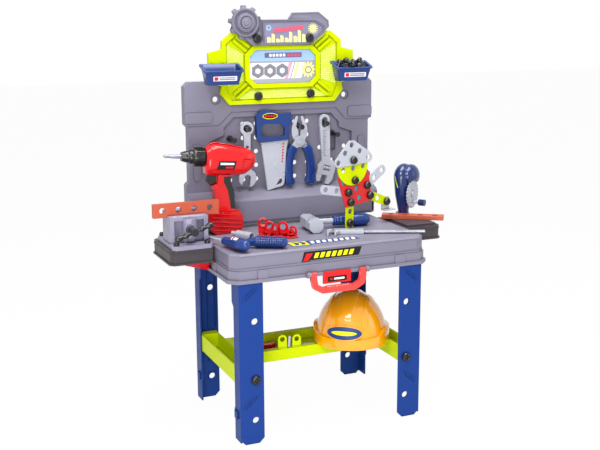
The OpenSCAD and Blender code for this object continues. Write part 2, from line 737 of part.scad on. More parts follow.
module drill_chuck() color(black) barrel_frame() rotate([0, -90, 0]) difference() {
    rotate_extrude() polygon([[0, -38], [6, -38], [6, 0.5], [19, 0.5], [21, 3], [21, 27],
        [19, 30], [16.8, 30], [16.8, 38], [14.4, 41], [13.4, 47], [10.6, 56], [0, 56]]);
    translate([0, 0, 30]) cylinder(r = 3.4, h = 40);
}

module drill_bit() color(tool_grey) barrel_frame() rotate([0, -90, 0]) {
    translate([0, 0, 30]) cylinder(r = 3.4, h = 62);
    translate([0, 0, 92]) cylinder(r1 = 3.4, r2 = 1, h = 10);
}

// ---------- tools on the panel ----------

module handsaw_handle() color(blue) translate([-6, 0, table_z + 2]) front_view(124, 138) difference() {
    polygon([[-67, 216], [-68, 268], [-56, 280], [-42, 283], [-18, 277], [-2, 271], [24, 274],
        [25, 252], [19, 240], blade_top[1], blade_top[0], [-60, 206]]);
    polygon([[-55, 222], [-55, 240], [-46, 249], [-2, 246], [8, 236], [7, 219], [-2, 216],
        [-46, 216]]);
}

blade_top = [[-56, 203], [18, 207]];
blade_tip = [-40, 82.4];
tooth_count = 26;

module handsaw_blade() color(tool_grey) translate([-6, 0, table_z + 2]) front_view(130, 132) {
    difference() {
        polygon(concat(blade_top, [[12.2, 178], [9.6, 130], [8.6, 115], [6.5, 97.5], [2, 91.5]],
            blade_edge()));
        polygon([[-16, 93], [-1.5, 114.5], [1, 104.5], [-1, 98]]);
    }
}

// Toothed edge of the handsaw, from its tip up to the handle
function blade_edge() = let (step = (blade_top[0] - blade_tip)/tooth_count)
    [for (i = [0:tooth_count - 1], k = [0, 1]) blade_tip + (i + k*0.2)*step + [k == 0 ? 3 : 0, 0]];

pivot = [44, 202];
pliers_y = 134;

// One half of the pliers about its pivot, seen from the front: jaw above right, grip below left
module pliers_half(y0, y1) {
    front_view(y0, y1) {
        difference() {
            polygon([[1.6, 13], [2.6, 27.5], [8.2, 38], [5.5, 50], [3.2, 63], [8, 63.5],
                [14, 51], [19.5, 38], [20.5, 26], [19, 14], [14, 4], [8, -2], [0, 0]]);
            circle(5);
        }
        difference() {
            circle(14);
            circle(4 + pin_gap);
        }
        polygon([[-13, 2], [-21, -7], [-25, -14], [-12, -18], [0, -12]]);
    }
    front_view(pliers_y - 7, pliers_y + 7) polygon([[-9, -14.5], [-24, -8], [-31.5, -19],
        [-36, -38], [-38.5, -62], [-39, -87], [-38.5, -103], [-35, -106.5], [-20, -106.5],
        [-16.5, -103], [-21, -90], [-22.5, -78], [-23, -65], [-21, -48], [-16, -31], [-10, -18]]);
}

module pliers_left_half() color(tool_grey) translate([pivot[0], 0, table_z + pivot[1]]) {
    pliers_half(pliers_y - 4.2, pliers_y - 0.2);
    rod_y(4, pliers_y - 3, pliers_y + 4.4);
    rod_y(8, pliers_y - 6, pliers_y - 2);
}

module pliers_right_half() color(tool_grey) translate([pivot[0], 0, table_z + pivot[1]])
    mirror([1, 0, 0]) pliers_half(pliers_y + 0.2, pliers_y + 4.2);

module wrench() color(tool_grey) translate([-96.3, 0, table_z]) front_view(131, 138) difference() {
    union() {
        translate([0, 241]) circle(17);
        polygon([[-9, 236], [-8, 150], [-12, 128], [12, 128], [8, 150], [9, 236]]);
        translate([0, 118]) rotate(-15) difference() {
            circle(23);
            polygon([[-8, 4], [-12, -30], [12, -30], [8, 4], [4, 8], [-4, 8]]);
        }
    }
    translate([0, 241]) circle(9.5);
    translate([0, 195]) circle(4);
}

wrench_x = 114;
head_at = [5, 130];
head_turn = 16;

// Puts the wrench head's own frame in place: X runs across the mouth, to the left, and Z up
module head_frame() translate([wrench_x + head_at[0], 0, table_z + head_at[1]])
    rotate([0, head_turn, 0]) mirror([1, 0, 0]) children();

module adjustable_wrench() color(tool_grey) difference() {
    union() {
        translate([wrench_x, 0, table_z]) front_view(131, 139) {
            strip_outline([-1, 253], [-1, 240], 28);
            polygon([[-15, 245], [-8, 152], [-8, 132], [17, 132], [14.4, 152], [13, 245]]);
        }
        head_frame() front_view(131, 139) polygon([[-14, 22], [-24, 4], [-23, -26], [-16, -40],
            [-6, -40], [-6, -19], [24, -19], [25, 2], [13, 24]]);
    }
    translate([wrench_x, 0, table_z]) front_view(130, 140)
        strip_outline([-1, 252.8], [-1, 241.2], 15.4);
    head_frame() {
        translate([-9, 130, -6.5]) cube([19, 10, 13]);
        translate([-10, 132.8, -20]) cube([50, 4.4, 10]);
        translate([0, 135, 0]) rod_x(2 + pin_gap, -13, 14);
    }
}

module adjustable_jaw() color(tool_grey) head_frame() {
    front_view(131, 139) polygon([[9, -19.6], [24, -19.6], [24, -29], [18, -39], [10, -36]]);
    translate([10, 133.2, -22]) cube([12, 3.6, 11.6]);
}

module adjustable_screw() color("#9A9CA6") head_frame() translate([0, 135, 0]) {
    rod_x(2, -12.6, 13.6);
    for (i = [0:3]) translate([-7.6 + 4.6*i, 0, 0]) rod_x(5.6, 0, 3.2);
    rod_x(4.4, -7.6, 9.4);
}

// ---------- tools on the table ----------

hammer_at = [21, 21.2, table_z + 18.6];
hammer_turn = -5.6;

// Puts the hammer's own frame in place: X runs along the handle, its face towards -Y
module hammer_frame() translate(hammer_at) rotate(hammer_turn) rotate([0, 0.9, 0]) children();

module hammer_head() color(tool_grey) hammer_frame() difference() {
    union() {
        translate([0, 26, 0]) rotate([90, 0, 0]) linear_extrude(46) cut_rect(31, 31, 6);
        rod_y(12.5, -40, 0);
        translate([0, -34, 0]) rotate([90, 0, 0]) rotate(22.5) cylinder(r = 18.8, h = 20, $fn = 8);
        rod_x(11, 0, 22);
        rod_x(7, 0, 60);
    }
    rod_x(4, 40, 70);
}

module hammer_handle() color(blue) hammer_frame() {
    translate([60, 0, 0]) rotate([0, 90, 0]) rotate_extrude() polygon([[0, 0], [10.5, 0],
        [12.8, 2], [12.8, 6], [11.8, 8], [12.8, 10], [12.8, 14], [11.8, 16], [12.8, 18],
        [12.4, 38], [14, 50], [15.8, 60], [16, 78], [14.5, 88], [10, 94], [0, 94]]);
    rod_x(4, 44, 62);
}

// Screwdriver handle along +X from its neck, on its axis
module driver_grip(l, r) rotate([0, 90, 0]) rotate_extrude() polygon([[0, 0], [r*0.62, 0],
    [r*0.74, l*0.05], [r*0.72, l*0.2], [r*0.86, l*0.34], [r, l*0.6], [r, l*0.8],
    [r*0.82, l*0.93], [r*0.5, l], [0, l]]);

driver_at = [-229, -66, table_z + 13.4];
driver_turn = -74;

module driver_frame() translate(driver_at) rotate(driver_turn) rotate([0, -2.4, 0]) children();

module driver_handle() color(blue) driver_frame() difference() {
    driver_grip(92, 14.6);
    rod_x(3.5, -1, 30);
}

module driver_shaft() color(tool_grey) driver_frame() rod_x(3.5, -62, 30);

socket_at = [-184, -100, table_z + 14.2];
socket_turn = -28;

module socket_driver_handle() color(blue) translate(socket_at) rotate(socket_turn)
    driver_grip(90, 13.8);

module socket_tube() color(tool_grey) translate([-181, 12, table_z + 10.5]) rotate(-62) {
    difference() {
        rod_x(10, 16, 60);
        rod_x(7.4, 34, 70);
    }
    rod_x(6, 0, 17);
}

caliper_at = [40, -38, table_z + lift_gap];
caliper_turn = -23.4;

module caliper_frame() translate(caliper_at) rotate(caliper_turn) children();

module caliper_beam() color(tool_grey) caliper_frame() {
    translate([0, -7, 3]) cube([235, 14, 3]);
    linear_extrude(8) polygon([[0, -8], [0, -34], [3, -34], [12, -8], [14, 8], [9, 14], [2, 8]]);
}

module caliper_slider() color(tool_grey) caliper_frame() difference() {
    union() {
        translate([18, -11, 0]) cube([70, 22, 9.5]);
        linear_extrude(8) polygon([[18, -8], [18, -32], [21, -32], [32, -8]]);
        translate([48, 12, 1]) cylinder(r = 6, h = 7);
    }
    translate([10, -7.4, 2.6]) cube([90, 14.8, 3.8]);
}

// ---------- helmet ----------

helmet_at = [98, -55.5, tray_top + lift_gap];
helmet_turn = -34;
dome_r = 87.5;
dome_h = 126;

// Half outline of a dome from its rim to its crown, drawn in by i
function dome_line(i, n = 18) = [for (k = [0:n]) let (a = 90*k/n)
    [(dome_r - i)*cos(a), (dome_h - i)*pow(sin(a), 0.9)]];

module helmet() color("#FFAA0A") translate(helmet_at) rotate(helmet_turn)
    rotate_extrude($fn = 48) polygon(concat([[dome_r + 4.5, 0], [dome_r + 6.3, 4], [dome_r + 5.3, 34],
        [dome_r + 1, 38]], [for (p = dome_line(0)) if (p[1] > 38) p],
        [for (k = [18:-1:0]) dome_line(3)[k]]));

// ---------- figure bolted up from perforated plates ----------

figure_at = [114, -18, table_z];
figure_turn = 15;
plate_t = 2.6;
hole_r = 6.6;

// Puts the figure's own frame in place: X runs along its plates and Y to its rear
module figure_frame() translate(figure_at) rotate(figure_turn) children();

// One plate of the figure in layer n, counted to the rear, pierced at the given places
module plate(n, holes) figure_frame() front_view(n*plate_t, (n + 1)*plate_t) difference() {
    children();
    for (p = holes) translate(p) circle(hole_r);
}

hat_bolt = [7, 169];
chin_bolt = [14, 119];
arm_bolts = [[-4, 90], [57, 102]];
hip_bolts = [[4, 65], [67, 76]];
foot_bolts = [[3, 14], [125, 53]];

module figure_hat() color(tool_grey) plate(0, [[2, 206], [-19, 188], [28, 190], [-40, 166],
    hat_bolt, [56, 172]]) {
    polygon([[-6, 217], [10, 217], [62, 184], [68, 176], [68.5, 168], [63, 161], [53, 159.5],
        [-41, 154.5], [-49, 158], [-52, 166], [-49.5, 173]]);
}

module figure_face() color(lime) plate(1, [hat_bolt, [-22, 146], [9, 149], [41, 152], chin_bolt]) {
    difference() {
        translate([8, 155]) circle(48);
        translate([8, 159]) rotate(4) translate([-60, 0]) square([120, 60]);
    }
    translate([-2, 150]) square([18, 30]);
}

module figure_chest() color(red) plate(2, concat([chin_bolt, [-20, 116], [22, 98], [31, 74]],
    arm_bolts, hip_bolts)) polygon([[-37, 129], [62, 135], [74, 63], [-12, 54]]);

module figure_strips() color(tool_grey) {
    plate(3, [arm_bolts[0], [-39, 98], [-73, 104]])
        strip_outline(arm_bolts[0], [-78, 105], 23);
    plate(3, [arm_bolts[1], [83, 118], [108, 134]])
        strip_outline(arm_bolts[1], [109, 135], 24);
    figure_frame() translate([foot_bolts[1][0], 0, foot_bolts[1][1]]) {
        difference() {
            translate([-13, 4*plate_t, -22]) cube([26, plate_t, 33]);
            rod_y(hole_r, 0, 20);
        }
        translate([-13, -4, -22]) cube([34, 5*plate_t + 4, plate_t]);
    }
}

module figure_legs() color(lime) {
    plate(3, [hip_bolts[0], [5, 42], foot_bolts[0]]) {
        strip_outline(hip_bolts[0], foot_bolts[0], 25);
        translate([-9, lift_gap]) square([24, 14]);
    }
    plate(3, [hip_bolts[1], [95, 65], foot_bolts[1]])
        strip_outline(hip_bolts[1], foot_bolts[1], 22.4);
}

// Places of the figure's bolts, as [x, z, layer under the head, shank length]
figure_bolt_list = concat([[hat_bolt[0], hat_bolt[1], 0, 10], [chin_bolt[0], chin_bolt[1], 1, 10]],
    [for (p = concat(arm_bolts, hip_bolts)) [p[0], p[1], 2, 10]],
    [[foot_bolts[0][0], foot_bolts[0][1], 3, 5], [foot_bolts[1][0], foot_bolts[1][1], 3, 8]]);

module figure_bolts() color(black) figure_frame() for (b = figure_bolt_list)
    translate([b[0], b[2]*plate_t, b[1]]) rotate([90, 0, 0]) toy_bolt(b[3], head_r - 1, hole_r);

// ---------- loose construction parts ----------

// Small upright bracket with a round top, about the origin on its foot
module lug_bracket(w, h, t) {
    difference() {
        front_view(0, t) {
            translate([0, h - w/2]) circle(w/2);
            translate([-w/2, 0]) square([w, h - w/2]);
        }
        translate([0, 0, h - w/2]) rod_y(w*0.3, -1, t + 1);
    }
    translate([-w/2, 0, 0]) cube([w, w*0.8, t]);
}

module spare_parts() {
    color(lime) for (x = [-127, -94]) translate([x, tray_front + 3, tray_top]) lug_bracket(23, 42, 2.6);
    color(tool_grey) for (i = [0:2]) translate([-118 + 34*i, -2 + 14*i, tray_z + wall])
        rotate(20 - 25*i) linear_extrude(3) difference() {
            round_rect(74, 18, 8.9);
            for (k = [-1:1]) translate([24*k, 0]) circle(5);
        }
    color(red) for (i = [0:3]) translate([-88 + 17*i, 28 - 27*i, table_z]) rotate(-24 - 8*i)
        lug_bracket(20, 26 - 2*i, 2.6);
}

leg_front_left();
leg_front_right();
leg_rear_left();
leg_rear_right();
shelf();
tabletop();
cross_bolts();
back_panel();
pegs();
sign_frame();
sign_plate();
header();
bin_left();
bin_right();
bin_left_bolts();
bin_right_bolts();
wing_left();
wing_right();
wing_braces();
vise_base();
vise_jaw();
vise_screw();
vise_bar();
plank_left();
plank_right();
saw_body();
saw_blade();
saw_knob();
drill_body();
drill_grip();
drill_trigger();
drill_chuck();
drill_bit();
drill_battery();
handsaw_handle();
handsaw_blade();
pliers_left_half();
pliers_right_half();
wrench();
adjustable_wrench();
adjustable_jaw();
adjustable_screw();
hammer_head();
hammer_handle();
driver_handle();
driver_shaft();
socket_driver_handle();
socket_tube();
caliper_beam();
caliper_slider();
helmet();
carry_handle();
latch_plate();
figure_hat();
figure_face();
figure_chest();
figure_legs();
figure_strips();
figure_bolts();
spare_parts();
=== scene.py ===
"""A child's toy workbench with its tools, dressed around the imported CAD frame.

Lengths are in millimetres until a piece is finished, which scales its mesh to metres; the lamps,
the floor and the camera are placed in metres. An outline is a list of (x, z) points seen from the
front. Places are worked out from the boxes of the CAD nodes and from the height of the table.
"""

import json
import math

import bmesh
import bpy
from mathutils import Matrix, Vector
from mathutils.bvhtree import BVHTree


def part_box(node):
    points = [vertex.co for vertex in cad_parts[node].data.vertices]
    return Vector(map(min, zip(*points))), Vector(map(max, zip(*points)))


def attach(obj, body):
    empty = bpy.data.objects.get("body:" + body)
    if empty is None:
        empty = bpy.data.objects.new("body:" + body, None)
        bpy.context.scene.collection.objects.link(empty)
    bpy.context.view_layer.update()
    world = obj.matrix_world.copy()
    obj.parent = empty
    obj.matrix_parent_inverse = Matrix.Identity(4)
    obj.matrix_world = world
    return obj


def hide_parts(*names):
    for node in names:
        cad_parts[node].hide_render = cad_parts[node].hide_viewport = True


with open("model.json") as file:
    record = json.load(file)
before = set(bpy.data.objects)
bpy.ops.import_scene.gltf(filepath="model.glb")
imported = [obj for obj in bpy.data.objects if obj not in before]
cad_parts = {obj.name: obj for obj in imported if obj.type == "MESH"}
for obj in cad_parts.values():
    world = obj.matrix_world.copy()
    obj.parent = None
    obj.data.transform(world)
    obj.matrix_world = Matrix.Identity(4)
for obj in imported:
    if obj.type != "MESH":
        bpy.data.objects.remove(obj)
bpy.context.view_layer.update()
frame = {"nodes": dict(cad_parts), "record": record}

MM = 0.001
INK = 0.4  # thickness of one printed layer, enough to keep two layers apart


# ---------- measures ----------


def lowest(node):
    """Lowest corner of a CAD node, in millimetres."""
    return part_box(node)[0] / MM


def highest(node):
    """Highest corner of a CAD node, in millimetres."""
    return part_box(node)[1] / MM


def middle(node):
    """Middle of a CAD node's box, in millimetres."""
    return (lowest(node) + highest(node)) / 2


handle_lugs = 17.5  # how far the table's lugs for the carry handle stand out
table_top = highest("tabletop").z
table_front = lowest("tabletop").y + handle_lugs


# ---------- materials ----------


def linear(code):
    """Linear colour of an sRGB hex code."""
    parts = [int(code[i : i + 2], 16) / 255 for i in (1, 3, 5)]
    return [p / 12.92 if p <= 0.04045 else ((p + 0.055) / 1.055) ** 2.4 for p in parts] + [1.0]


def add(tree, kind, settings=None, values=None, links=None):
    """Adds a shader node: its settings, its sockets' values, and the outputs that feed them."""
    node = tree.nodes.new("ShaderNode" + kind)
    for key, value in (settings or {}).items():
        setattr(node, key, value)
    for key, value in (values or {}).items():
        node.inputs[key].default_value = value
    for key, output in (links or {}).items():
        tree.links.new(output, node.inputs[key])
    return node


def moulded(name, code, rough, grain=0.9, depth=0.06, drift=0.05, edge=0.7, gloss=0.3, coat=0.0,
        metallic=0.0, edge_highlight=0.10, crease_shade=0.3):
    """Injection-moulded plastic: pigment that drifts a little, a spark-eroded grain whose pits
    are grain millimetres across, mould edges painted paler as a highlight, painted shade in
    creases, and a skin sheen."""
    material = bpy.data.materials.new(name)
    material.use_nodes = True
    tree = material.node_tree
    shader = tree.nodes["Principled BSDF"]
    place = add(tree, "TexCoord").outputs["Object"]
    full = linear(code)
    deep = [c * (1 - drift) for c in full[:3]] + [1]
    pale = [c + (1 - c) * 0.22 for c in full[:3]] + [1]
    # Pigment drifts in clouds about 45 mm across, as the melt flowed
    pigment = add(tree, "TexNoise", {}, {"Scale": 1 / (45 * MM), "Detail": 3}, {"Vector": place})
    mixed = add(tree, "Mix", {"data_type": "RGBA"}, {6: deep, 7: full},
        {0: pigment.outputs["Fac"]})
    # The rounded normal leaves the flat one only within a mould radius of an edge
    soft = add(tree, "Bevel", {"samples": 4}, {"Radius": edge * MM})
    flat = add(tree, "NewGeometry")
    turned = add(tree, "VectorMath", {"operation": "DOT_PRODUCT"}, {},
        {0: soft.outputs["Normal"], 1: flat.outputs["Normal"]})
    # Painted highlight: near a mould edge the colour turns paler, by up to the edge highlight share
    edge_highlight_mask = add(tree, "MapRange", {}, {"From Min": 0.99, "From Max": 0.8, "To Max": edge_highlight},
        {"Value": turned.outputs["Value"]})
    edge_lit = add(tree, "Mix", {"data_type": "RGBA"}, {7: pale},
        {0: edge_highlight_mask.outputs["Result"], 6: mixed.outputs[2]})
    # Painted shade: the colour darkens in grooves a few millimetres deep, where occlusion finds
    # them
    crease_occlusion = add(tree, "AmbientOcclusion", {"samples": 6}, {"Distance": 7 * MM})
    shade_factor = add(tree, "MapRange", {},
        {"From Min": 0.25, "From Max": 0.85, "To Min": crease_shade, "To Max": 1.0},
        {"Value": crease_occlusion.outputs["AO"]})
    shaded = add(tree, "VectorMath", {"operation": "SCALE"}, {},
        {0: edge_lit.outputs[2], "Scale": shade_factor.outputs["Result"]})
    tree.links.new(shaded.outputs["Vector"], shader.inputs["Base Color"])
    # Hands leave patches about 30 mm across that shine a little more or less
    handling = add(tree, "TexNoise", {}, {"Scale": 1 / (30 * MM), "Detail": 4}, {"Vector": place})
    sheen = add(tree, "MapRange", {},
        {"From Min": 0.3, "From Max": 0.7, "To Min": rough - 0.05, "To Max": rough + 0.05},
        {"Value": handling.outputs["Fac"]})
    tree.links.new(sheen.outputs["Result"], shader.inputs["Roughness"])
    normal = soft.outputs["Normal"]
    if depth:
        pits = add(tree, "TexNoise", {}, {"Scale": 1 / (grain * MM), "Detail": 2},
            {"Vector": place})
        normal = add(tree, "Bump", {}, {"Strength": depth, "Distance": 0.2 * MM},
            {"Height": pits.outputs["Fac"], "Normal": normal}).outputs["Normal"]
    tree.links.new(normal, shader.inputs["Normal"])
    shader.inputs["Metallic"].default_value = metallic
    shader.inputs["Specular IOR Level"].default_value = gloss
    shader.inputs["Coat Weight"].default_value = coat
    shader.inputs["Coat Roughness"].default_value = 0.1
    material.diffuse_color = full
    return material


# Satin ABS of the bench: even cool grey with a mould grain that dulls the light
bench_grey = moulded("grey ABS, satin", "#807D8F", 0.45, depth=0.10)
# Satin polypropylene of the legs: saturated blue, a little waxy
leg_blue = moulded("blue polypropylene, satin", "#183C88", 0.42, depth=0.08, gloss=0.15)
# Semi-gloss ABS of tool handles and bins: sharper highlights on a deep blue
tool_blue = moulded("blue ABS, semi-gloss", "#12357A", 0.24, gloss=0.35, coat=0.3)
# Gloss ABS of the saw: a deeper blue that mirrors the lamps
saw_blue = moulded("deep blue ABS, gloss", "#0B2660", 0.22, gloss=0.35, coat=0.5)
# Semi-gloss ABS of the crank's knob: navy, with one small highlight
dark_blue = moulded("navy ABS, semi-gloss", "#152858", 0.3, gloss=0.3, coat=0.2)
# Satin polypropylene of the shelf, the sign and the figure: bright lime, almost free of grey
lime = moulded("lime polypropylene, satin", "#CFE200", 0.4, drift=0.04, gloss=0.08)
# Gloss ABS of the drill: red with hard white highlights
drill_red = moulded("red ABS, gloss", "#D9080F", 0.16, depth=0.02, gloss=0.15, coat=0.7)
# Semi-gloss polypropylene of the carry handle: a warmer red with a broad soft highlight
coral = moulded("coral polypropylene, semi-gloss", "#F23E38", 0.28, gloss=0.4, coat=0.4)
# Satin ABS of the wings: brownish charcoal, kept dull by its grain
charcoal = moulded("charcoal ABS, satin", "#453E43", 0.46, depth=0.12)
# Semi-gloss polypropylene of the bolts: black, with small bright glints painted on its edges
black_plastic = moulded("black polypropylene, semi-gloss", "#121214", 0.27, gloss=0.5, coat=0.2,
    edge_highlight=0.25)
# Satin ABS of the vise: a paler grey than the bench, and smoother
vise_grey = moulded("light grey ABS, satin", "#938FA6", 0.36, gloss=0.4)
# Satin polypropylene of the planks: terracotta whose cloudy pigment hints at wood
terracotta = moulded("terracotta polypropylene, satin", "#C0583E", 0.42, drift=0.1, gloss=0.25)
# ABS loaded with aluminium flake: silver, broken up by the flake, never mirror-like
silver = moulded("silver flake ABS, semi-gloss", "#BFC2CE", 0.3, grain=0.5, metallic=0.3,
    drift=0.04, gloss=0.5)
# Darker flake ABS of the drill's bit: closer to steel, with a tighter highlight
steel_grey = moulded("grey flake ABS, semi-gloss", "#9396A2", 0.25, grain=0.5, metallic=0.4,
    gloss=0.5)
# White printed film of the sign: even and smooth, without a grain
white_print = moulded("white printed film, satin", "#F3F3F8", 0.4, depth=0.0, drift=0.02,
    crease_shade=0.7)
# Polyethylene of the helmet's shell: golden under a clear glossy skin, its edges painted paler as a
# highlight
golden = moulded("golden polyethylene, gloss", "#FFA800", 0.18, depth=0.015, gloss=0.5, coat=1.0,
    edge_highlight=0.3, crease_shade=0.8)
# Satin ABS seen deep in the drill's cooling slots: a dark red that paints the shade there
slot_shade_red = moulded("red ABS, painted slot shade", "#8E0A0C", 0.4)
# Satin polypropylene of the plates behind the figure's chest: plain teal
teal = moulded("teal polypropylene", "#3E95A4", 0.4)

SLOT_FINISH = {
    "bench_grey": bench_grey,
    "leg_blue": leg_blue,
    "tool_blue": tool_blue,
    "dark_blue": dark_blue,
    "lime": lime,
    "red": drill_red,
    "coral": coral,
    "charcoal": charcoal,
    "black": black_plastic,
    "vise_grey": vise_grey,
    "terracotta": terracotta,
    "silver": silver,
    "sign_white": white_print,
    "helmet_yellow": golden,
}

# Printing inks: flat colours under a satin film
INKS = {
    name: moulded(name.replace("_", " ") + " ink", code, 0.4, depth=0.0, drift=0.03, edge=0.2,
        edge_highlight=0.0, crease_shade=0.9)
    for name, code in {
        "grey": "#83838F", "pale_grey": "#A6A6B4", "violet": "#6F6996", "violet_grey": "#86849E",
        "sky": "#A4C6F2", "pink": "#F0A6BA", "rose": "#DE5A74", "cream": "#ECE89A",
        "white": "#F4F4FA", "black": "#101012", "yellow": "#F6EA12", "red": "#DC161E",
        "blue": "#1C3F7C",
    }.items()
}


def brick_finish():
    """Lime polypropylene with a moulded brick pattern, its faces rubbed paler than the joints."""
    material = bpy.data.materials.new("lime polypropylene, brick grain")
    material.use_nodes = True
    tree = material.node_tree
    shader = tree.nodes["Principled BSDF"]
    place = add(tree, "TexCoord").outputs["Object"]
    upright = add(tree, "Mapping", {}, {"Rotation": (math.radians(90), 0, 0)}, {"Vector": place})
    # Bricks 9 mm by 4.6 mm with joints of 0.8 mm, as the mould was engraved
    brick = add(tree, "TexBrick", {}, {"Scale": 1 / MM, "Brick Width": 9.0, "Row Height": 4.6,
        "Mortar Size": 0.8, "Color1": linear("#EBF59A"), "Color2": linear("#E2F068"),
        "Mortar": linear("#CFE40E")}, {"Vector": upright.outputs["Vector"]})
    tree.links.new(brick.outputs["Color"], shader.inputs["Base Color"])
    bump = add(tree, "Bump", {"invert": True}, {"Strength": 0.6, "Distance": 0.5 * MM},
        {"Height": brick.outputs["Fac"]})
    tree.links.new(bump.outputs["Normal"], shader.inputs["Normal"])
    shader.inputs["Roughness"].default_value = 0.45
    shader.inputs["Specular IOR Level"].default_value = 0.2
    return material


brick_lime = brick_finish()

SLOT_OF = {part["node"]: part["material_slot"] for part in frame["record"]["subparts"]}
for node, slot in SLOT_OF.items():
    materials = frame["nodes"][node].data.materials
    if not materials:
        materials.append(SLOT_FINISH[slot])
    for i in range(len(materials)):
        materials[i] = SLOT_FINISH[slot]


# ---------- making pieces ----------


def finish_piece(name, bm, material, body, smooth=38, replaces=()):
    """Turns a bmesh in millimetres into a piece that rides on a body."""
    bmesh.ops.scale(bm, vec=(MM, MM, MM), verts=bm.verts)
    bmesh.ops.recalc_face_normals(bm, faces=bm.faces)
    mesh = bpy.data.meshes.new(name)
    bm.to_mesh(mesh)
    bm.free()
    mesh.polygons.foreach_set("use_smooth", [True] * len(mesh.polygons))
    mesh.set_sharp_from_angle(angle=math.radians(smooth))
    mesh.materials.append(material)
    piece = bpy.data.objects.new(name, mesh)
    bpy.context.scene.collection.objects.link(piece)
    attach(piece, body)
    if replaces:
        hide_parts(*replaces)
    return piece


def turn(axis, degrees):
    """Rotation matrix about an axis."""
    return Matrix.Rotation(math.radians(degrees), 4, axis)


def shift(x, y, z):
    """Translation matrix."""
    return Matrix.Translation((x, y, z))


# Swaps Y and Z, which lays a plate drawn from the front down flat
LAID_FLAT = Matrix(((1, 0, 0, 0), (0, 0, 1, 0), (0, 1, 0, 0), (0, 0, 0, 1)))


def placed(bm, matrix):
    """The bmesh, after a matrix has moved its points."""
    bmesh.ops.transform(bm, matrix=matrix, verts=bm.verts)
    return bm


def merge_in(bm, other, matrix=Matrix.Identity(4)):
    """Moves other by matrix and adds it to bm."""
    placed(other, matrix)
    mesh = bpy.data.meshes.new("part")
    other.to_mesh(mesh)
    other.free()
    bm.from_mesh(mesh)
    bpy.data.meshes.remove(mesh)


def soften(bm, width, segments=2, least=0.6):
    """Rounds the edges of a bmesh that turn by more than least, in radians."""
    edges = [e for e in bm.edges if len(e.link_faces) == 2 and e.calc_face_angle(0) > least]
    bmesh.ops.bevel(bm, geom=edges, offset=width, segments=segments, affect="EDGES", profile=0.5,
        material=-1, clamp_overlap=True)


def deepen(bm, faces, depth):
    """Extrudes faces by depth along Y, leaving a closed plate."""
    grown = bmesh.ops.extrude_face_region(bm, geom=faces)
    far = [v for v in grown["geom"] if isinstance(v, bmesh.types.BMVert)]
    bmesh.ops.translate(bm, vec=(0, depth, 0), verts=far)
    return bm


def slab(bm, outline, y0, y1):
    """Adds the plate inside an outline to bm, from y0 back to y1."""
    return deepen(bm, [bm.faces.new([bm.verts.new((x, y0, z)) for x, z in outline])], y1 - y0)


def slabs(outlines, y0, y1):
    """Plates inside several outlines, as one new bmesh."""
    bm = bmesh.new()
    for outline in outlines:
        slab(bm, outline, y0, y1)
    return bm


def plate(outline, y0, y1, round_by=0.0, segments=2):
    """Plate inside one outline, as a new bmesh, with its edges rounded."""
    bm = slabs([outline], y0, y1)
    if round_by:
        soften(bm, round_by, segments)
    return bm


def rim_plate(bm, outline, width, y0, y1):
    """Adds a frame to bm that follows the inside of an outline."""
    face = bm.faces.new([bm.verts.new((x, y0, z)) for x, z in outline])
    face.normal_update()
    rim = bmesh.ops.inset_region(bm, faces=[face], thickness=width, use_boundary=True,
        use_even_offset=True)["faces"]
    bmesh.ops.delete(bm, geom=[face], context="FACES_ONLY")
    return deepen(bm, rim, y1 - y0)


def ring_plate(bm, outer, inner, y0, y1):
    """Adds the plate between two outlines to bm, from y0 back to y1."""
    edges = []
    for line in (outer, inner):
        verts = [bm.verts.new((x, y0, z)) for x, z in line]
        edges += [bm.edges.new(pair) for pair in zip(verts, verts[1:] + verts[:1])]
    faces = bmesh.ops.bridge_loops(bm, edges=edges)["faces"]
    return deepen(bm, faces, y1 - y0)


def washer(bm, x, z, radii, corners, y0, y1, first=0.0):
    """Adds the ring between two radii about (x, z) to bm, from y0 back to y1."""
    outer, inner = (moved(ring_outline(r, corners, first), x, z) for r in radii)
    return ring_plate(bm, outer, inner, y0, y1)


def lathe(profile, steps=48):
    """Turned shape about X from (x, r) points: closed where the first and last r are 0."""
    bm = bmesh.new()
    verts = [bm.verts.new((x, 0, r)) for x, r in profile]
    edges = [bm.edges.new(pair) for pair in zip(verts, verts[1:])]
    bmesh.ops.spin(bm, geom=verts + edges, cent=(0, 0, 0), axis=(1, 0, 0), angle=2 * math.pi,
        steps=steps, use_merge=True)
    bmesh.ops.remove_doubles(bm, verts=bm.verts, dist=0.001)
    return bm


def loft(sections, steps=48, square=2.6):
    """Closed shell along X through rounded-square sections: (x, low z, high z, half width)."""
    bm = bmesh.new()
    rings = []
    for x, low, high, half in sections:
        ring = bmesh.ops.create_circle(bm, segments=steps, radius=1)["verts"]
        for v in ring:
            c, s = v.co.x, v.co.y
            v.co = (x, half * math.copysign(abs(c) ** (2 / square), c),
                (low + high) / 2 + (high - low) / 2 * math.copysign(abs(s) ** (2 / square), s))
        rings.append([e for e in bm.edges if e.verts[0] in ring and e.verts[1] in ring])
    for one, two in zip(rings, rings[1:]):
        bmesh.ops.bridge_loops(bm, edges=one + two)
    for ring in (rings[0], rings[-1]):
        bmesh.ops.edgeloop_fill(bm, edges=ring)
    return bm


def skin(cols, rows, outside, depth):
    """Curved plate: a grid laid on the surface outside(u, v), thickened towards the origin."""
    bm = bmesh.new()
    bmesh.ops.create_grid(bm, x_segments=cols, y_segments=rows, size=1)
    for v in bm.verts:
        v.co = outside(v.co.x, v.co.y)
    grown = bmesh.ops.extrude_face_region(bm, geom=bm.faces[:])
    for v in grown["geom"]:
        if isinstance(v, bmesh.types.BMVert):
            v.co -= v.co.normalized() * depth
    return bm


def ring_outline(r, n, first=0.0):
    """Regular outline of n points at radius r."""
    angles = [first + 2 * math.pi * i / n for i in range(n)]
    return [(r * math.cos(a), r * math.sin(a)) for a in angles]


def moved(outline, x, z):
    """Outline shifted by x and z."""
    return [(px + x, pz + z) for px, pz in outline]


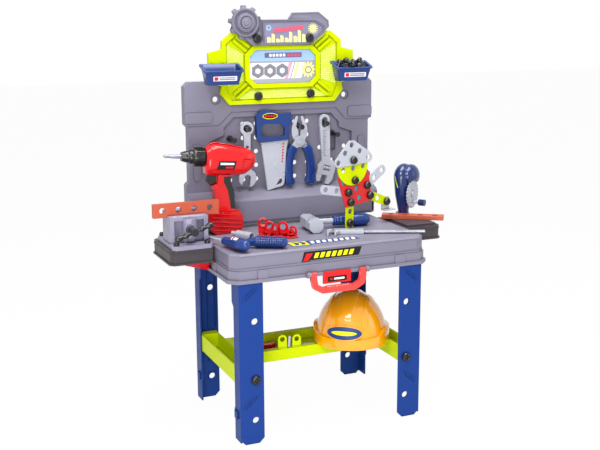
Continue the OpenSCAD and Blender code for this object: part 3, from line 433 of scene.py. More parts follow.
def oblong(w, h, r, n=5):
    """Outline of a rectangle w by h with round corners of radius r."""
    points = []
    for cx, cz, first in ((1, 1, 0), (-1, 1, 90), (-1, -1, 180), (1, -1, 270)):
        for i in range(n + 1):
            a = math.radians(first + 90 * i / n)
            points.append((cx * (w / 2 - r) + r * math.cos(a),
                cz * (h / 2 - r) + r * math.sin(a)))
    return points


def gear_outline(r, tooth, n):
    """Outline of a gear of n blunt teeth, tooth deep."""
    points = []
    for i in range(n):
        for part, radius in ((-0.30, r - tooth), (-0.16, r), (0.16, r), (0.30, r - tooth)):
            a = 2 * math.pi * (i + part) / n
            points.append((radius * math.cos(a), radius * math.sin(a)))
    return points


# ---------- mouldings with turned or hollowed shapes ----------

BODY_OF = {
    node: body
    for body, nodes in frame["record"]["behaviour"]["bodies"].items()
    for node in nodes
}


def smooth_copy(node, material):
    """Smooth-shaded copy of a CAD node's mesh, its flat facets merged, that stands for the node."""
    bm = bmesh.new()
    bm.from_mesh(frame["nodes"][node].data)
    bmesh.ops.scale(bm, vec=(1 / MM,) * 3, verts=bm.verts)
    bmesh.ops.remove_doubles(bm, verts=bm.verts, dist=0.004)
    bmesh.ops.dissolve_limit(bm, angle_limit=0.004, verts=bm.verts, edges=bm.edges)
    finish_piece(node + "_moulding", bm, material, BODY_OF[node], 33, (node,))


for node in (
    "cross_bolts", "pegs", "header", "bin_left", "bin_right", "bin_left_bolts",
    "bin_right_bolts", "vise_base", "vise_jaw", "vise_screw", "plank_left", "plank_right",
    "saw_body", "saw_blade", "saw_knob", "drill_chuck", "handsaw_handle", "pliers_left_half",
    "pliers_right_half", "wrench", "adjustable_wrench", "adjustable_screw", "hammer_head",
    "hammer_handle", "driver_shaft", "socket_tube", "carry_handle", "figure_hat", "figure_face",
    "figure_chest", "figure_legs", "figure_strips", "figure_bolts",
):
    # The saw's body is a deeper blue than the rest of its slot
    smooth_copy(node, saw_blue if node == "saw_body" else SLOT_FINISH[SLOT_OF[node]])


# ---------- sign ----------


def sign_print():
    """Generic print on the sign: a sky band, nut shapes, slanted stripes and a gear."""
    lo, hi = lowest("sign_plate"), highest("sign_plate")
    cx, cz = (lo.x + hi.x) / 2, (lo.z + hi.z) / 2
    right, top = (hi.x - lo.x) / 2, (hi.z - lo.z) / 2
    cut = 16  # the plate's corners are cut off by this much
    band = top - 27  # foot of the sky band
    low, high = cut - top - 5, band - 4  # the printed field below it
    lean = 12  # how far a stripe's head stands to the right of its foot
    bar = band + 14  # height of the little blocks

    def part(name, outlines, ink, layer=1.0, back=0.0):
        """Ink on the plate's face, from its printed layer back to another."""
        bm = slabs([moved(outline, cx, cz) for outline in outlines], lo.y - INK * layer,
            lo.y - INK * back)
        finish_piece(name, bm, INKS[ink], "bench")

    def stripe(x, wide):
        """Outline of a slanted stripe through the field's middle height at x."""
        foot, head = x - lean / 2, x + lean / 2
        return [(foot - wide / 2, low), (foot + wide / 2, low), (head + wide / 2, high),
            (head - wide / 2, high)]

    part("sign_sky_band", [[(right - cut, top), (cut - right, top), (-right, top - cut),
        (-right, band), (right, band), (right, top - cut)]], "sky")
    part("sign_grey_band", [[(-right, high), (right, high), (right, band), (-right, band)]],
        "pale_grey", 1.3)
    part("sign_foot_band", [[(5 - right, low), (right - 5, low), (right - cut, -top),
        (cut - right, -top)]], "pale_grey", 1.3)
    part("sign_violet_bar", [moved(oblong(98, 12, 1.5), 2, bar)], "violet", 2, 1)
    part("sign_white_blocks", [moved(oblong(6.5, 7, 1), 9 * i - 32, bar) for i in range(5)],
        "white", 3, 2)
    part("sign_pink_blocks", [moved(oblong(6.5, 7, 1), 9 * i + 16, bar) for i in range(4)],
        "rose", 3, 2)
    part("sign_pink_stripe", [stripe(16, 9)], "pink")
    part("sign_grey_stripe", [stripe(27, 3)], "pale_grey")
    part("sign_yellow_stripe", [stripe(36, 8)], "cream")
    part("sign_grey_corner", [[(50, low), (right - 5.5, low), (right - 0.3, low + 6),
        (right - 0.3, high), (62, high)]], "pale_grey")
    part("sign_gear", [moved(gear_outline(20, 5, 12), 68, -9)], "cream", 2, 1)
    bm = bmesh.new()
    for i in range(3):
        washer(bm, cx - 65 + 32 * i, cz - 10, (17.5, 7.5), 6, lo.y - INK * 1.5, lo.y, 0.52)
    finish_piece("sign_nut_shapes", bm, INKS["grey"], "bench")
    bm = washer(bmesh.new(), cx + 69, cz - 10, (9, 6.5), 24, lo.y - 3 * INK, lo.y - 2 * INK)
    finish_piece("sign_gear_ring", bm, INKS["grey"], "bench")


sign_print()


def brick_panels():
    """Panels of brick grain between the sign's rim and its window."""
    rim = 10
    low, top = lowest("sign_frame").z + rim, highest("sign_frame").z - rim
    cz = middle("sign_plate").z
    face = lowest("sign_frame").y + 12.0  # floor of the frame's recess
    window_x, window_z, corner, edge_x = 103, 56, 24, 143
    flanks = [[(s * window_x, cz - window_z + corner), (s * window_x, cz + window_z - corner),
        (s * edge_x, cz + 54), (s * edge_x, cz - 46)] for s in (-1, 1)]
    foot = [(-84, cz - window_z), (84, cz - window_z), (128, low + 3), (-128, low + 3)]
    head = [(-84, cz + window_z), (84, cz + window_z), (118, top), (-118, top)]
    finish_piece("sign_brick_panels", slabs([*flanks, foot, head], face - 0.8, face + 0.4),
        brick_lime, "bench")


brick_panels()


def header_dressing():
    """Header: raised double rims, a ringed gear, and a print of bars, burst, ring and slant."""
    front = lowest("header").y
    plate_face, field_face = front + 12, front + 14
    x0, z0 = -52, table_top + 446.4  # lower left corner of the print

    def printed(name, bm, ink):
        finish_piece(name, bm, INKS[ink], "bench")

    def layer(n):
        """Front and back of printed layer n."""
        return field_face - n * INK, field_face - (n - 1) * INK

    bm = bmesh.new()
    for outline, width, sunk, proud in (
        ([(-80, 502), (83, 502), (109, 488), (109, 471), (72, 441.5), (-81, 440), (-104, 459)],
            2.4, 0.8, 1.2),
        ([(-55, 499), (81, 499), (105, 486), (105, 472.5), (70.5, 444), (-55, 443)],
            1.8, 0.4, 0.8),
        ([(12, 501), (23, 518), (93, 519.5), (120, 499), (121.5, 484), (106, 470)],
            3.0, 4.8, -2.8),
    ):
        rim_plate(bm, moved(outline, 0, table_top), width, plate_face - proud, plate_face + sunk)
    soften(bm, 0.4, 1)
    finish_piece("header_rims", bm, bench_grey, "bench")
    bm = bmesh.new()
    for start, profile in (
        (7, [(0, 31), (0, 29.5), (2, 28.5), (2, 34), (0, 33), (0, 31)]),
        (-1.5, [(0, 0), (0, 6), (2.5, 8.5), (2.5, 0)]),
        (2.6, [(0, 16.5), (0, 15), (2, 14), (2, 20), (0, 18.5), (0, 16.5)]),
    ):
        merge_in(bm, lathe([(start + x, r) for x, r in profile], 40))
    placed(bm, shift(-101, front, table_top + 495.5) @ turn("Z", 90))
    finish_piece("header_gear_rings", bm, bench_grey, "bench")
    field = [(x0 + 1, z0 + 49), (80, z0 + 49), (101.6, z0 + 37.4), (101.6, z0 + 28),
        (68.8, z0 + 0.8), (x0 + 1, z0)]
    printed("header_field", plate(field, *layer(1)), "violet_grey")
    bars = []
    for i, tall in enumerate((14, 22, 10, 18, 12, 26, 16, 30, 20)):
        x, width = x0 + 8 + 11.5 * i, 8 if i % 2 else 10
        bars.append([(x, z0 + 1), (x + width, z0 + 1), (x + width, z0 + tall - 3),
            (x + width - 4, z0 + tall), (x, z0 + tall)])
    printed("header_bars", slabs(bars, *layer(2)), "cream")
    burst = moved(gear_outline(13.5, 5, 14), 77, z0 + 33)
    printed("header_burst", plate(burst, *layer(2)), "cream")
    slant = [(-28, z0 + 24), (50, z0 + 33), (50, z0 + 42), (-28, z0 + 33)]
    printed("header_slanted_bar", plate(slant, *layer(3)), "rose")
    printed("header_ring", washer(bmesh.new(), -40, z0 + 36, (6.5, 3.6), 20, *layer(2)), "sky")


header_dressing()


# ---------- bins ----------


def bin_label(node):
    """Blank label on a bin's sloping front: a red square and a white field with grey bars."""
    wide = 0.58 * (highest(node).x - lowest(node).x)
    slope = 10.3
    face = -0.3  # the label starts this far in front of the place it is laid on
    place = shift(middle(node).x + 2, lowest(node).y + 5.3, highest(node).z - 33)
    for name, outlines, layer, ink in (
        ("field", [oblong(wide, 11, 1.2)], 1, "white"),
        ("red_block", [moved(oblong(9.5, 8, 0.8), 7.2 - wide / 2, 0)], 2, "red"),
        ("grey_bars", [moved(oblong(wide - 18.5, 2.4, 0.8), 5.6, z) for z in (2, -2)], 2, "grey"),
    ):
        bm = slabs(outlines, face - INK * layer, 2.0 if layer == 1 else face - INK)
        finish_piece(f"{node}_label_{name}", placed(bm, place @ turn("X", slope)), INKS[ink],
            node)


bin_label("bin_left")
bin_label("bin_right")


# ---------- table labels ----------


def table_labels():
    """Generic labels on the table: a striped one on the front and a flat one on the top."""
    sunk = table_front + 4.2  # the front panel's face
    bars = [[(x, -25), (x + 9.6, -25), (x + 14.4, -13), (x + 4.8, -13)]
        for x in (-48 + 14.6 * i for i in range(7))]
    for name, ink, outlines, y0, y1 in (
        ("field", "black", [[(-78, -34), (-64, -34), (-56, -29), (66, -28), (73, -9),
            (-71, -9)]], -0.8, 0.5),
        ("red", "red", [[(-74, -30), (-62, -30), (-50, -13), (-66, -13)]], -1.3, -0.7),
        ("yellow", "yellow", bars, -1.3, -0.7),
    ):
        bm = slabs([moved(outline, 0, table_top) for outline in outlines], sunk + y0, sunk + y1)
        finish_piece("front_label_" + name, bm, INKS[ink], "bench")
    zigzag = [[(x, -121 + 0.03 * x), (x + 9, -121 + 0.03 * x), (x + 15, -100), (x + 6, -100)]
        for x in (-38 + 15 * i for i in range(8))]
    marks = [[(x, -126), (x + 10, -126), (x + 16, -110), (x + 10, -100), (x, -100), (x + 6, -112)]
        for x in (-80, -64)]
    for name, outlines, layer, ink in (
        ("blue", [[(-89, -134), (-42, -134), (-40, -127), (87, -119), (87, -96), (-89, -92)]],
            0, "blue"),
        ("yellow", [[(-86, -131), (-45, -131), (-43, -95), (-86, -95)]], 1, "yellow"),
        ("marks", marks, 2, "blue"),
        ("white", zigzag, 1, "white"),
    ):
        bm = slabs(outlines, INK * layer, INK * (layer + 1))
        finish_piece("top_label_" + name, placed(bm, shift(0, 0, table_top) @ LAID_FLAT),
            INKS[ink], "bench")


table_labels()


# ---------- helmet ----------


def eased(keys, a):
    """Value at a between (place, value) keys, eased from one to the next."""
    for (a0, v0), (a1, v1) in zip(keys, keys[1:]):
        if a <= a1:
            f = max(0.0, (a - a0) / (a1 - a0))
            return v0 + (v1 - v0) * f * f * (3 - 2 * f)
    return keys[-1][1]


def helmet():
    """Hard hat: a dome with a broad crest and two ribs, and a deep band round its foot."""
    lo, hi = lowest("helmet"), highest("helmet")
    dome_r = (hi.x - lo.x) / 2 - 6.3  # the band stands out by the rest
    rise = 2.0  # how far crest and ribs stand above the dome
    dome_top = hi.z - lo.z - rise
    place = shift((lo.x + hi.x) / 2, (lo.y + hi.y) / 2, lo.z) @ turn("Z", -38)

    def dome_height(r):
        """Height of the dome's skin at radius r from its axis."""
        return dome_top * math.sin(math.acos(min(1.0, r / dome_r))) ** 0.9

    def done(name, bm, material=golden, angle=50, replaces=()):
        finish_piece(name, placed(bm, place), material, "helmet", angle, replaces)

    radii = [dome_r * math.cos(math.radians(3 * i)) for i in range(31)]
    outer = [(dome_height(r), r) for r in radii]
    inner = [(max(0.0, z - 4), r * 0.955) for z, r in reversed(outer)]
    dome = lathe(outer[:-1] + [(outer[-1][0], 0), (inner[0][0], 0)] + inner[1:], 128)
    bmesh.ops.holes_fill(dome, edges=[e for e in dome.edges if e.is_boundary], sides=0)
    done("helmet_shell", placed(dome, turn("Y", -90)), replaces=("helmet",))

    # The band is low at the front, where the badge rises from it, and high over the ears
    band_top = ((0, 25), (30, 26), (50, 28), (88, 42), (130, 38), (180, 34))
    band = lathe([(0, dome_r + 4.5), (0.08, dome_r + 6.1), (0.5, dome_r + 5.8),
        (0.97, dome_r + 5.2), (1, dome_r + 4.2), (1, dome_r - 9), (0, dome_r - 3),
        (0, dome_r + 4.5)], 128)
    placed(band, turn("Y", -90))
    for v in band.verts:
        v.co.z *= eased(band_top, abs(math.degrees(math.atan2(v.co.x, -v.co.y))))
    done("helmet_band", band, angle=40)

    # The ribs lie a hair lower than the crest, so that no faces coincide
    for name, centre, half, front, back, high in (
        ("crest", 0, 21, 33, 16, rise),
        ("rib_left", -45, 6, 26, 24, rise * 0.999),
        ("rib_right", 45, 6, 26, 24, rise * 0.999),
    ):

        def ridge(u, v):
            """Point of the ridge: u runs from the helmet's front to its back, v across."""
            x = centre + half * v
            along = math.radians(front + (180 - back - front) * (u + 1) / 2)
            y = -math.sqrt(dome_r**2 - x * x) * math.cos(along)
            point = Vector((x, y, dome_height(math.hypot(x, y))))
            return point + point.normalized() * high

        bm = skin(40, 4, ridge, 5)
        soften(bm, 1.1, 2, 0.9)
        done("helmet_" + name, bm)

    for name, half_w, half_h, out, thick, material in (
        ("badge_rim", 50, 17.5, 0.0, 9, golden),
        ("badge", 46.5, 14.5, 0.5, 0.8, INKS["blue"]),
        ("badge_bar", 33, 5, 0.9, 0.8, INKS["yellow"]),
    ):

        def badge(u, v):
            """Point of an oval that leans back with the dome, above the band's front."""
            flat_u, flat_v = u * math.sqrt(1 - v * v / 2), v * math.sqrt(1 - u * u / 2)
            a = half_w * flat_u / (dome_r + 6)
            r = dome_r + 0.5 + out - 0.34 * half_h * flat_v
            return Vector((r * math.sin(a), -r * math.cos(a), 41 + half_h * flat_v))

        done("helmet_" + name, skin(28, 8, badge, thick), material, 60)


helmet()


# ---------- handle and latch ----------


def carry_handle_grip():
    """Ribbed pad in the middle of the carry handle."""
    lo = lowest("carry_handle")
    profile = [(-31, 0), (-31, 8.1)]
    for x in (-27 + 7 * i for i in range(8)):
        profile += [(x, 8.3), (x + 1, 8.8), (x + 4, 8.8), (x + 5, 8.3)]
    bm = placed(lathe(profile + [(31, 8.1), (31, 0)], 32),
        shift(middle("carry_handle").x, lo.y + 8.9, lo.z + 8.8))
    finish_piece("carry_handle_pad", bm, coral, "carry_handle")


carry_handle_grip()


def latch_label():
    """Black field with a white bar and a red block on the latch plate."""
    lo = lowest("latch_plate")
    cx = middle("latch_plate").x
    for name, w, h, x, layer in (
        ("black", 48, 12, 0, 1),
        ("white", 26, 4.4, 5, 2),
        ("red", 6, 4.4, -15, 2),
    ):
        bm = plate(moved(oblong(w, h, 1.2), cx + x, lo.z + 10), lo.y - INK * layer,
            lo.y + 0.3 if layer == 1 else lo.y - INK)
        finish_piece("latch_label_" + name, bm, INKS[name], "bench")


latch_label()


# ---------- drill ----------


def drill_dressing():
    """Smooth shell over the drill's barrel, its side label, cooling slots filled with painted
    shade, ribs and bit.
    """
    y = middle("drill_body").y
    # The drill's own frame: X runs back along its barrel from the shell's front
    place = shift(lowest("drill_body").x + 4, y, table_top + 186) @ turn("Y", 4.5)
    flank = -25.0  # side of the barrel, in that frame

    def done(name, bm, material, body="drill", slot="red", angle=38, replaces=()):
        finish_piece(name, placed(bm, place), material, body, angle, replaces)

    done("drill_shell", loft(((0, -38, 22, 20), (3, -41, 24, 23), (9, -43.6, 29, 24.5),
        (19, -43.6, 33, 25), (39, -43, 31.5, 25), (63, -42, 28, 24.6), (88, -41, 24, 23),
        (100, -38.5, 22, 22), (111, -31, 19.5, 19.5), (119, -23, 15, 15.5), (124, -15, 9, 10),
        (126, -9, 4, 6))), drill_red, angle=50)
    for name, outline, layer in (
        ("black", [(24, -26), (66, -26), (71, -6), (29, -6)], 1),
        ("white", [(31, -15), (65, -15), (66, -10), (32, -10)], 2),
        ("red", [(44, -23), (63, -23), (64, -19), (45, -19)], 2),
    ):
        bm = plate(outline, flank - INK * layer, flank + 6 if layer == 1 else flank - INK)
        done("drill_label_" + name, bm, INKS[name])
    # Painted shade: dark red plates in the cooling slots stand for the shade deep inside them
    slots = bmesh.new()
    for i in range(4):
        groove = plate(moved(oblong(21 - 2.5 * i, 2.4, 1.1), -1 - 1.5 * i, -1 - 6 * i),
            -0.4 + 0.3 * i, 3)
        merge_in(slots, groove, shift(99.5, -21.5, 0) @ turn("Z", 8.6))
    done("drill_slot_shade", slots, slot_shade_red)
    ribs, count = bmesh.new(), 28
    for i in range(count):
        merge_in(ribs, plate(oblong(22, 1.5, 0.6), -23.0, -20.8), turn("X", 360 * i / count))
    done("chuck_ribs", placed(ribs, shift(-15, 0, 0)), black_plastic, "drill_chuck", "black")
    bit = [(-50, 0), (-50, 5.2), (-80, 5.2), (-83, 4), (-92, 3.8), (-96, 4.4), (-101, 1.6),
        (-102, 0)]
    done("drill_driver_bit", lathe(bit, 24), steel_grey, BODY_OF["drill_bit"], "silver",
        replaces=("drill_bit",))
    ribs = bmesh.new()
    for i in range(5):
        merge_in(ribs, plate(oblong(70 - 2 * i, 2.6, 1.2), -0.9, 2, 0.5),
            shift(-180 - i, y - 22, table_top + 8 + 10 * i) @ turn("Y", 8))
    finish_piece("drill_battery_ribs", ribs, drill_red, "drill")
    done("drill_top_ridge", loft(((10, 29, 33, 2.4), (20, 33, 36, 3.2), (60, 29, 32, 3.2),
        (104, 20, 23.5, 2.4)), 16, 2.2), drill_red, angle=50)


drill_dressing()


# ---------- tools on the panel ----------


def handsaw_dressing():
    """Oval label on the handsaw's handle and a row of marks on its blade."""
    face, blade = lowest("handsaw_handle").y, lowest("handsaw_blade").y
    cx, cz = -38.4, table_top + 269.8

    def oval(a, b):
        return [(cx + a * x, cz + b * z) for x, z in ring_outline(1, 32)]

    rim = ring_plate(bmesh.new(), oval(19.7, 7.5), oval(18, 6), face - 2 * INK, face - INK)
    label_marks = [moved(oblong(5.4, 4.6, 1), cx - 11 + 7.2 * i, cz) for i in range(4)]
    blade_marks = [moved(oblong(4.6, 3.6, 0.5), -1 - 0.6 * i, table_top + 199 - 7.4 * i)
        for i in range(7)]
    for name, bm, ink, slot in (
        ("label", plate(oval(19.7, 7.5), face - INK, face + 0.3), "black", "tool_blue"),
        ("label_rim", rim, "yellow", "tool_blue"),
        ("label_marks", slabs(label_marks, face - 2 * INK, face - INK), "red", "tool_blue"),
        ("blade_marks", slabs(blade_marks, blade - INK, blade + 0.1), "red", "silver"),
    ):
        finish_piece("handsaw_" + name, bm, INKS[ink], "handsaw")


handsaw_dressing()


def pliers_dressing():
    """Blue sleeves over the pliers' handles, and their rivet."""
    front, back = lowest("pliers_left_half").y, highest("pliers_right_half").y
    pivot_x, pivot_z = 44, table_top + 202
    sleeve = [(-9.2, -16), (-24.4, -6.6), (-32.8, -18.8), (-37.2, -38), (-39.7, -62),
        (-40.2, -87), (-39.7, -103.4), (-35.5, -107.7), (-19.6, -107.7), (-15, -103.2),
        (-19.7, -90), (-21.2, -78), (-21.7, -65), (-19.8, -48.4), (-14.8, -31.6), (-8.6, -18)]
    for name, side in (("left", 1), ("right", -1)):
        outline = [(pivot_x + side * x, pivot_z + z) for x, z in sleeve]
        finish_piece(f"pliers_{name}_grip", plate(outline, front - 1.2, back + 0.6, 1.8, 3),
            tool_blue, f"pliers_{name}")
    rivet = lathe([(0.8, 0), (0.8, 2.4), (0, 3), (0, 4.4), (1.4, 5), (1.4, 6.6), (0.2, 7.2),
        (0.2, 8.6), (1.4, 9.4), (7, 9.4), (7, 0)], 32)
    placed(rivet, shift(pivot_x, 127.4, pivot_z) @ turn("Z", 90))
    finish_piece("pliers_rivet", rivet, silver, "pliers_left")


pliers_dressing()


def wrench_dressing():
    """Scale down the adjustable wrench's shank, every fourth mark longer."""
    face, top = lowest("adjustable_wrench").y, highest("adjustable_wrench").z - 40
    edge, pitch, thick = 108, 4, 1.3
    marks = []
    for i in range(17):
        reach, z = 6.4 if i % 4 else 9.0, top - pitch * i
        marks.append([(edge, z), (edge + reach, z), (edge + reach, z - thick), (edge, z - thick)])
    finish_piece("adjustable_wrench_marks", slabs(marks, face - INK, face + 0.1), INKS["grey"],
        "adjustable_wrench")


wrench_dressing()


# ---------- tools on the table ----------


def driver_handles():
    """Glossy turned handles of the two drivers, and a label on the first."""
    ringed = [(0, 0), (0, 7.4), (1.4, 8.6), (8, 9.6), (13, 9.8), (16, 11.4)]
    for x in (18 + 4 * i for i in range(15)):
        ringed += [(x, 12.1), (x + 1, 13.5), (x + 2.6, 13.5), (x + 3.6, 12.1)]
    ringed += [(79, 13), (84, 11.4), (88, 8), (89.6, 4), (90, 0)]
    plain = [(0, 0), (0, 8.2), (1, 9.2), (4, 10), (12, 10.1), (22, 10.6), (34, 12), (46, 13.6),
        (58, 14.5), (68, 14.5), (77, 13.5), (84, 11.4), (88.6, 8.6), (91.2, 5), (92, 0)]
    driver = shift(-229, -66, table_top + 13.4) @ turn("Z", -74) @ turn("Y", -2.4)
    socket = shift(-184, -100, table_top + 14.2) @ turn("Z", -28)
    for name, profile, place, body, node in (
        ("driver_turned_handle", plain, driver, "screwdriver", "driver_handle"),
        ("socket_driver_ringed_handle", ringed, socket, "socket_driver", "socket_driver_handle"),
    ):
        finish_piece(name, placed(lathe(profile, 64), place), tool_blue, body, 50,
            (node,))
    for name, x0, x1, layer in (("white", 40, 62, 0), ("red", 44, 50, 1)):
        label = plate([(x0, -3.6), (x1, -3.6), (x1, 3.6), (x0, 3.6)], -14.9 - INK * layer, -11)
        finish_piece("driver_label_" + name, placed(label, driver @ turn("X", -60)), INKS[name],
            "screwdriver")


driver_handles()


def vise_dressing():
    """Toggle bar of the vise with two swellings on each side, and a raised ring round its screw."""
    screw_x, bar_y, screw_z = -297, -60, table_top + 38
    half = [(0, 3.4), (12, 3.4), (15, 5), (18, 6.3), (22, 6.3), (25, 5), (28, 4.4), (31, 5.2),
        (34, 6.6), (40, 7), (45, 6.2), (47.4, 4), (48, 0)]
    bar = lathe([(-x, r) for x, r in reversed(half)] + half[1:], 32)
    placed(bar, shift(screw_x, bar_y, screw_z) @ turn("Y", -19))
    finish_piece("vise_knotted_bar", bar, black_plastic, "vise_bar", 50, ("vise_bar",))
    face = lowest("vise_jaw").y
    boss = washer(bmesh.new(), screw_x, screw_z, (14, 10.6), 40, face - 1, face + 7)
    soften(boss, 0.7)
    finish_piece("vise_boss_ring", boss, vise_grey, BODY_OF["vise_jaw"])


vise_dressing()


def figure_plugs():
    """Teal plates showing through the holes of the figure's chest."""
    plugs = [moved(ring_outline(6.5, 24), x, z) for x, z in ((-20, 116), (22, 98), (31, 74))]
    place = shift(114, -18, table_top) @ turn("Z", 15)
    finish_piece("figure_teal_plates", placed(slabs(plugs, 6.4, 7.7), place), teal, "figure")


figure_plugs()


def lug(bm, w, h, thick, hole, foot, place):
    """Adds an upright lug with a pierced round top, on a foot that reaches forward, to bm."""
    count = 36
    outer, inner = [], []
    for x, z in ring_outline(1, count, math.pi / count):
        # Half a circle above, and the sides and foot of a rectangle below
        r = w / 2 if z >= 0 else min(w / 2 / max(abs(x), 1e-6), (h - w / 2) / abs(z))
        outer.append((r * x, h - w / 2 + r * z))
        inner.append((hole * x, h - w / 2 + hole * z))
    part = ring_plate(bmesh.new(), outer, inner, -thick / 2, thick / 2)
    slab(part, [(-w / 2, 0), (w / 2, 0), (w / 2, thick), (-w / 2, thick)], -foot, thick / 2)
    soften(part, 0.45)
    merge_in(bm, part, place)


def spare_parts():
    """Spare construction parts: red lugs on the table, lime lugs and silver links on the shelf."""
    shelf, rim = lowest("spare_parts").z, highest("shelf").z
    red, green, metal = bmesh.new(), bmesh.new(), bmesh.new()
    for x, y, w, h, thick, hole, foot, turned in (
        (-106, 8, 22, 43, 3.2, 22 * 0.27, 16, -20),
        (-94, -3, 22, 36, 3.2, 22 * 0.27, 16, -28),
        (-66, -20, 26, 36, 3.2, 26 * 0.27, 16, -35),
        (-40, -20, 20, 22, 3.2, 20 * 0.27, 16, -48),
        (-84, -14, 20, 30, 3.2, 5.4, 14, -58),
        (-52, -34, 18, 20, 3.2, 4.8, 12, 12),
    ):
        lug(red, w, h, thick, hole, foot, shift(x, y, table_top) @ turn("Z", turned))
    foot = plate([(-13, 0), (13, 0), (13, 3.2), (-13, 3.2)], -34, 4, 0.5)
    merge_in(red, foot, shift(-58, -22, table_top) @ turn("Z", 8))
    for length, radius, thick, x, y, z, turned in (
        (20, 4, 16, -76, 35, 6, -22),
        (54, 5, 12, -108, 22, 9, -14),
    ):
        bar = plate(oblong(length, 11, radius), -thick / 2, thick / 2, 0.8)
        merge_in(red, bar, shift(x, y, shelf + z) @ turn("Z", turned))
    lug(green, 22, 34, 3, 6, 3, shift(-84, -54, rim) @ turn("Z", -6))
    lug(green, 22, 31, 3, 6, 3, shift(-47, -54, rim) @ turn("Z", -2))
    for x, turned in ((-112, 14), (-66, -10)):
        clip = plate(oblong(30, 4, 1.8), -2, 2, 0.5)
        merge_in(green, clip, shift(x, -40, shelf + 4) @ turn("Z", turned) @ turn("Y", -12))
    for x, y, length, turned in (
        (-8, 12, 64, 12),
        (-40, 30, 70, -28),
        (-100, -14, 66, 24),
        (-66, -20, 58, -20),
    ):
        link = slabs([oblong(length, 15, 7.4, 8)], 0, 3)
        for k in (-1, 0, 1):
            washer(link, k * (length / 2 - 8), 0, (6.4, 4.2), 20, 3, 4)
        soften(link, 0.4, 1)
        merge_in(metal, placed(link, LAID_FLAT), shift(x, y, shelf) @ turn("Z", turned))
    upright = plate(oblong(6, 30, 2.8), -1.2, 1.2, 0.4)
    merge_in(metal, upright, shift(-66, -53, rim + 14) @ turn("Y", 6))
    body = BODY_OF["spare_parts"]
    finish_piece("spare_red_lugs", red, drill_red, body)
    finish_piece("spare_lime_lugs", green, lime, body, replaces=("spare_parts",))
    finish_piece("spare_silver_links", metal, silver, body)


spare_parts()


# ---------- legs ----------


def leg_ribs():
    """Slanted grip ribs raised on the front faces of the front legs."""
    for side, node, edge in (
        (1, "leg_front_left", lowest("leg_front_left").x),
        (-1, "leg_front_right", highest("leg_front_right").x),
    ):
        bm = bmesh.new()
        for z in (98, 352):
            for k in range(3):
                rib = plate(oblong(24 - 3 * abs(k - 1), 3, 1.4), -1.3, 1, 0.6)
                merge_in(bm, rib, shift(edge + side * (19 + 9 * k), lowest(node).y,
                    z - 2 + 5 * k) @ turn("Y", -side * 55))
        finish_piece(node + "_ribs", bm, leg_blue, BODY_OF[node])


leg_ribs()


# ---------- saw ----------


def saw_stripe():
    """Short lime stripe laid down the flank of the saw's body."""
    mesh = frame["nodes"]["saw_body"].data
    flanks = BVHTree.FromPolygons([v.co / MM for v in mesh.vertices],
        [p.vertices[:] for p in mesh.polygons])
    # The middle of the body, which stands turned towards the front
    axis = shift(327, 56, table_top + 59) @ turn("Z", 36) @ shift(-3, 23.6, 34)
    outside, half_length, proud = 80, 15, 0.7

    def flank(u, v):
        """Point of the stripe: u runs up it and v across, where a ray inwards meets the body."""
        around = math.radians(168 - 9 * u + 2.4 * v)
        reach = Vector((math.cos(around), math.sin(around), 0))
        start = axis @ (reach * outside + Vector((0, 0, half_length * u)))
        met = flanks.ray_cast(start, -(axis.to_3x3() @ reach))[0]
        return axis.inverted() @ met + reach * proud

    finish_piece("saw_lime_stripe", placed(skin(16, 3, flank, 2), axis), lime,
        BODY_OF["saw_body"])


saw_stripe()


# ---------- stage ----------


def clear_rays(tree, share):
    """Share of a white glow that camera, mirror and clear-glass rays meet."""
    path = add(tree, "LightPath").outputs
    seen = path["Is Camera Ray"]
    for ray in ("Is Glossy Ray", "Is Transmission Ray"):
        seen = add(tree, "Math", {"operation": "MAXIMUM"}, {}, {0: seen, 1: path[ray]}).outputs[0]
    return add(tree, "Math", {"operation": "MULTIPLY"}, {1: share}, {0: seen}).outputs[0]


def floor():
    """Pale floor that keeps the shadow and shows white to the camera."""
    bm = bmesh.new()
    bmesh.ops.create_grid(bm, x_segments=1, y_segments=1, size=12)
    mesh = bpy.data.meshes.new("floor")
    bm.to_mesh(mesh)
    bm.free()
    sweep = bpy.data.objects.new("floor", mesh)
    bpy.context.scene.collection.objects.link(sweep)
    # White paper sweep: matt, without a highlight
    material = bpy.data.materials.new("white paper sweep")
    material.use_nodes = True
    tree = material.node_tree
    shader = tree.nodes["Principled BSDF"]
    shader.inputs["Base Color"].default_value = (0.9, 0.9, 0.9, 1)
    shader.inputs["Roughness"].default_value = 0.9
    shader.inputs["Specular IOR Level"].default_value = 0.1
    glow = add(tree, "Emission", {}, {"Strength": 1.0})
    # The paper itself gives the last few hundredths, which carry the shadow
    mix = add(tree, "MixShader", {}, {},
        {0: clear_rays(tree, 0.97), 1: shader.outputs[0], 2: glow.outputs[0]})
    tree.links.new(mix.outputs[0], tree.nodes["Material Output"].inputs["Surface"])
    mesh.materials.append(material)


floor()


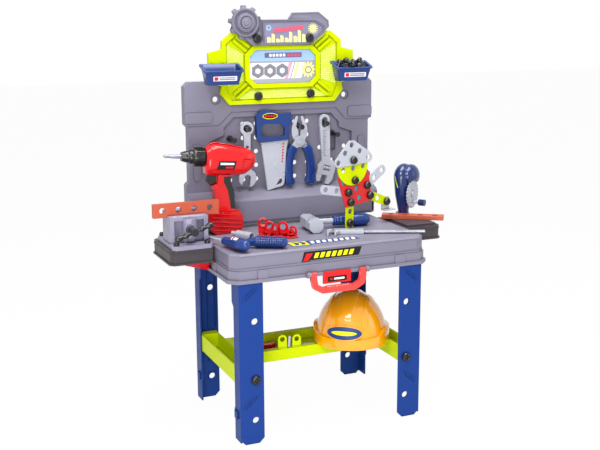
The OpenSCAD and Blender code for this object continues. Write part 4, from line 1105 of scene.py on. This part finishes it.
def daylight():
    """White room: even light on the object, pure white to the camera."""
    world = bpy.data.worlds.new("studio")
    bpy.context.scene.world = world
    world.use_nodes = True
    tree = world.node_tree
    tree.nodes.clear()
    white = (1, 1, 1, 1)
    lit = add(tree, "Background", {}, {"Color": white, "Strength": 0.27})
    shown = add(tree, "Background", {}, {"Color": white, "Strength": 1.0})
    mix = add(tree, "MixShader", {}, {},
        {0: clear_rays(tree, 1.0), 1: lit.outputs[0], 2: shown.outputs[0]})
    add(tree, "OutputWorld", {}, {}, {"Surface": mix.outputs[0]})


daylight()


def softbox(name, place, aim, size, watts):
    """Rectangular lamp at place, turned to aim."""
    lamp = bpy.data.lights.new(name, "AREA")
    lamp.shape = "RECTANGLE"
    lamp.size, lamp.size_y = size
    lamp.energy = watts
    box = bpy.data.objects.new(name, lamp)
    bpy.context.scene.collection.objects.link(box)
    box.location = place
    box.rotation_euler = (Vector(aim) - Vector(place)).to_track_quat("-Z", "Y").to_euler()


softbox("key softbox", (-1.5, -2.0, 2.4), (0, 0, 0.5), (1.1, 1.1), 48)
softbox("overhead softbox", (0.1, -0.3, 2.6), (0, 0, 0.4), (1.6, 1.2), 54)
softbox("low front softbox", (-1.2, -2.7, 0.6), (0, 0, 0.3), (1.4, 1.0), 22)
softbox("knee-high softbox", (-0.55, -1.25, 0.3), (0.1, -0.06, 0.24), (0.5, 0.4), 3.2)
softbox("right softbox", (2.2, -1.6, 1.2), (0, 0, 0.5), (1.2, 1.6), 5)


def camera():
    """Camera at the height of the sign, to the left of the bench and looking down on it."""
    heading, tilt, roll = -23.38, 78.0, -0.28
    lens = bpy.data.cameras.new("camera")
    lens.sensor_width = 36
    lens.lens = 59.877
    eye = bpy.data.objects.new("camera", lens)
    bpy.context.scene.collection.objects.link(eye)
    eye.location = (-0.9452, -2.1557, 0.9632)
    eye.rotation_euler = (turn("Z", heading) @ turn("X", tilt) @ turn("Z", roll)).to_euler()
    bpy.context.scene.camera = eye


camera()

bpy.context.scene.view_settings.view_transform = "Standard"
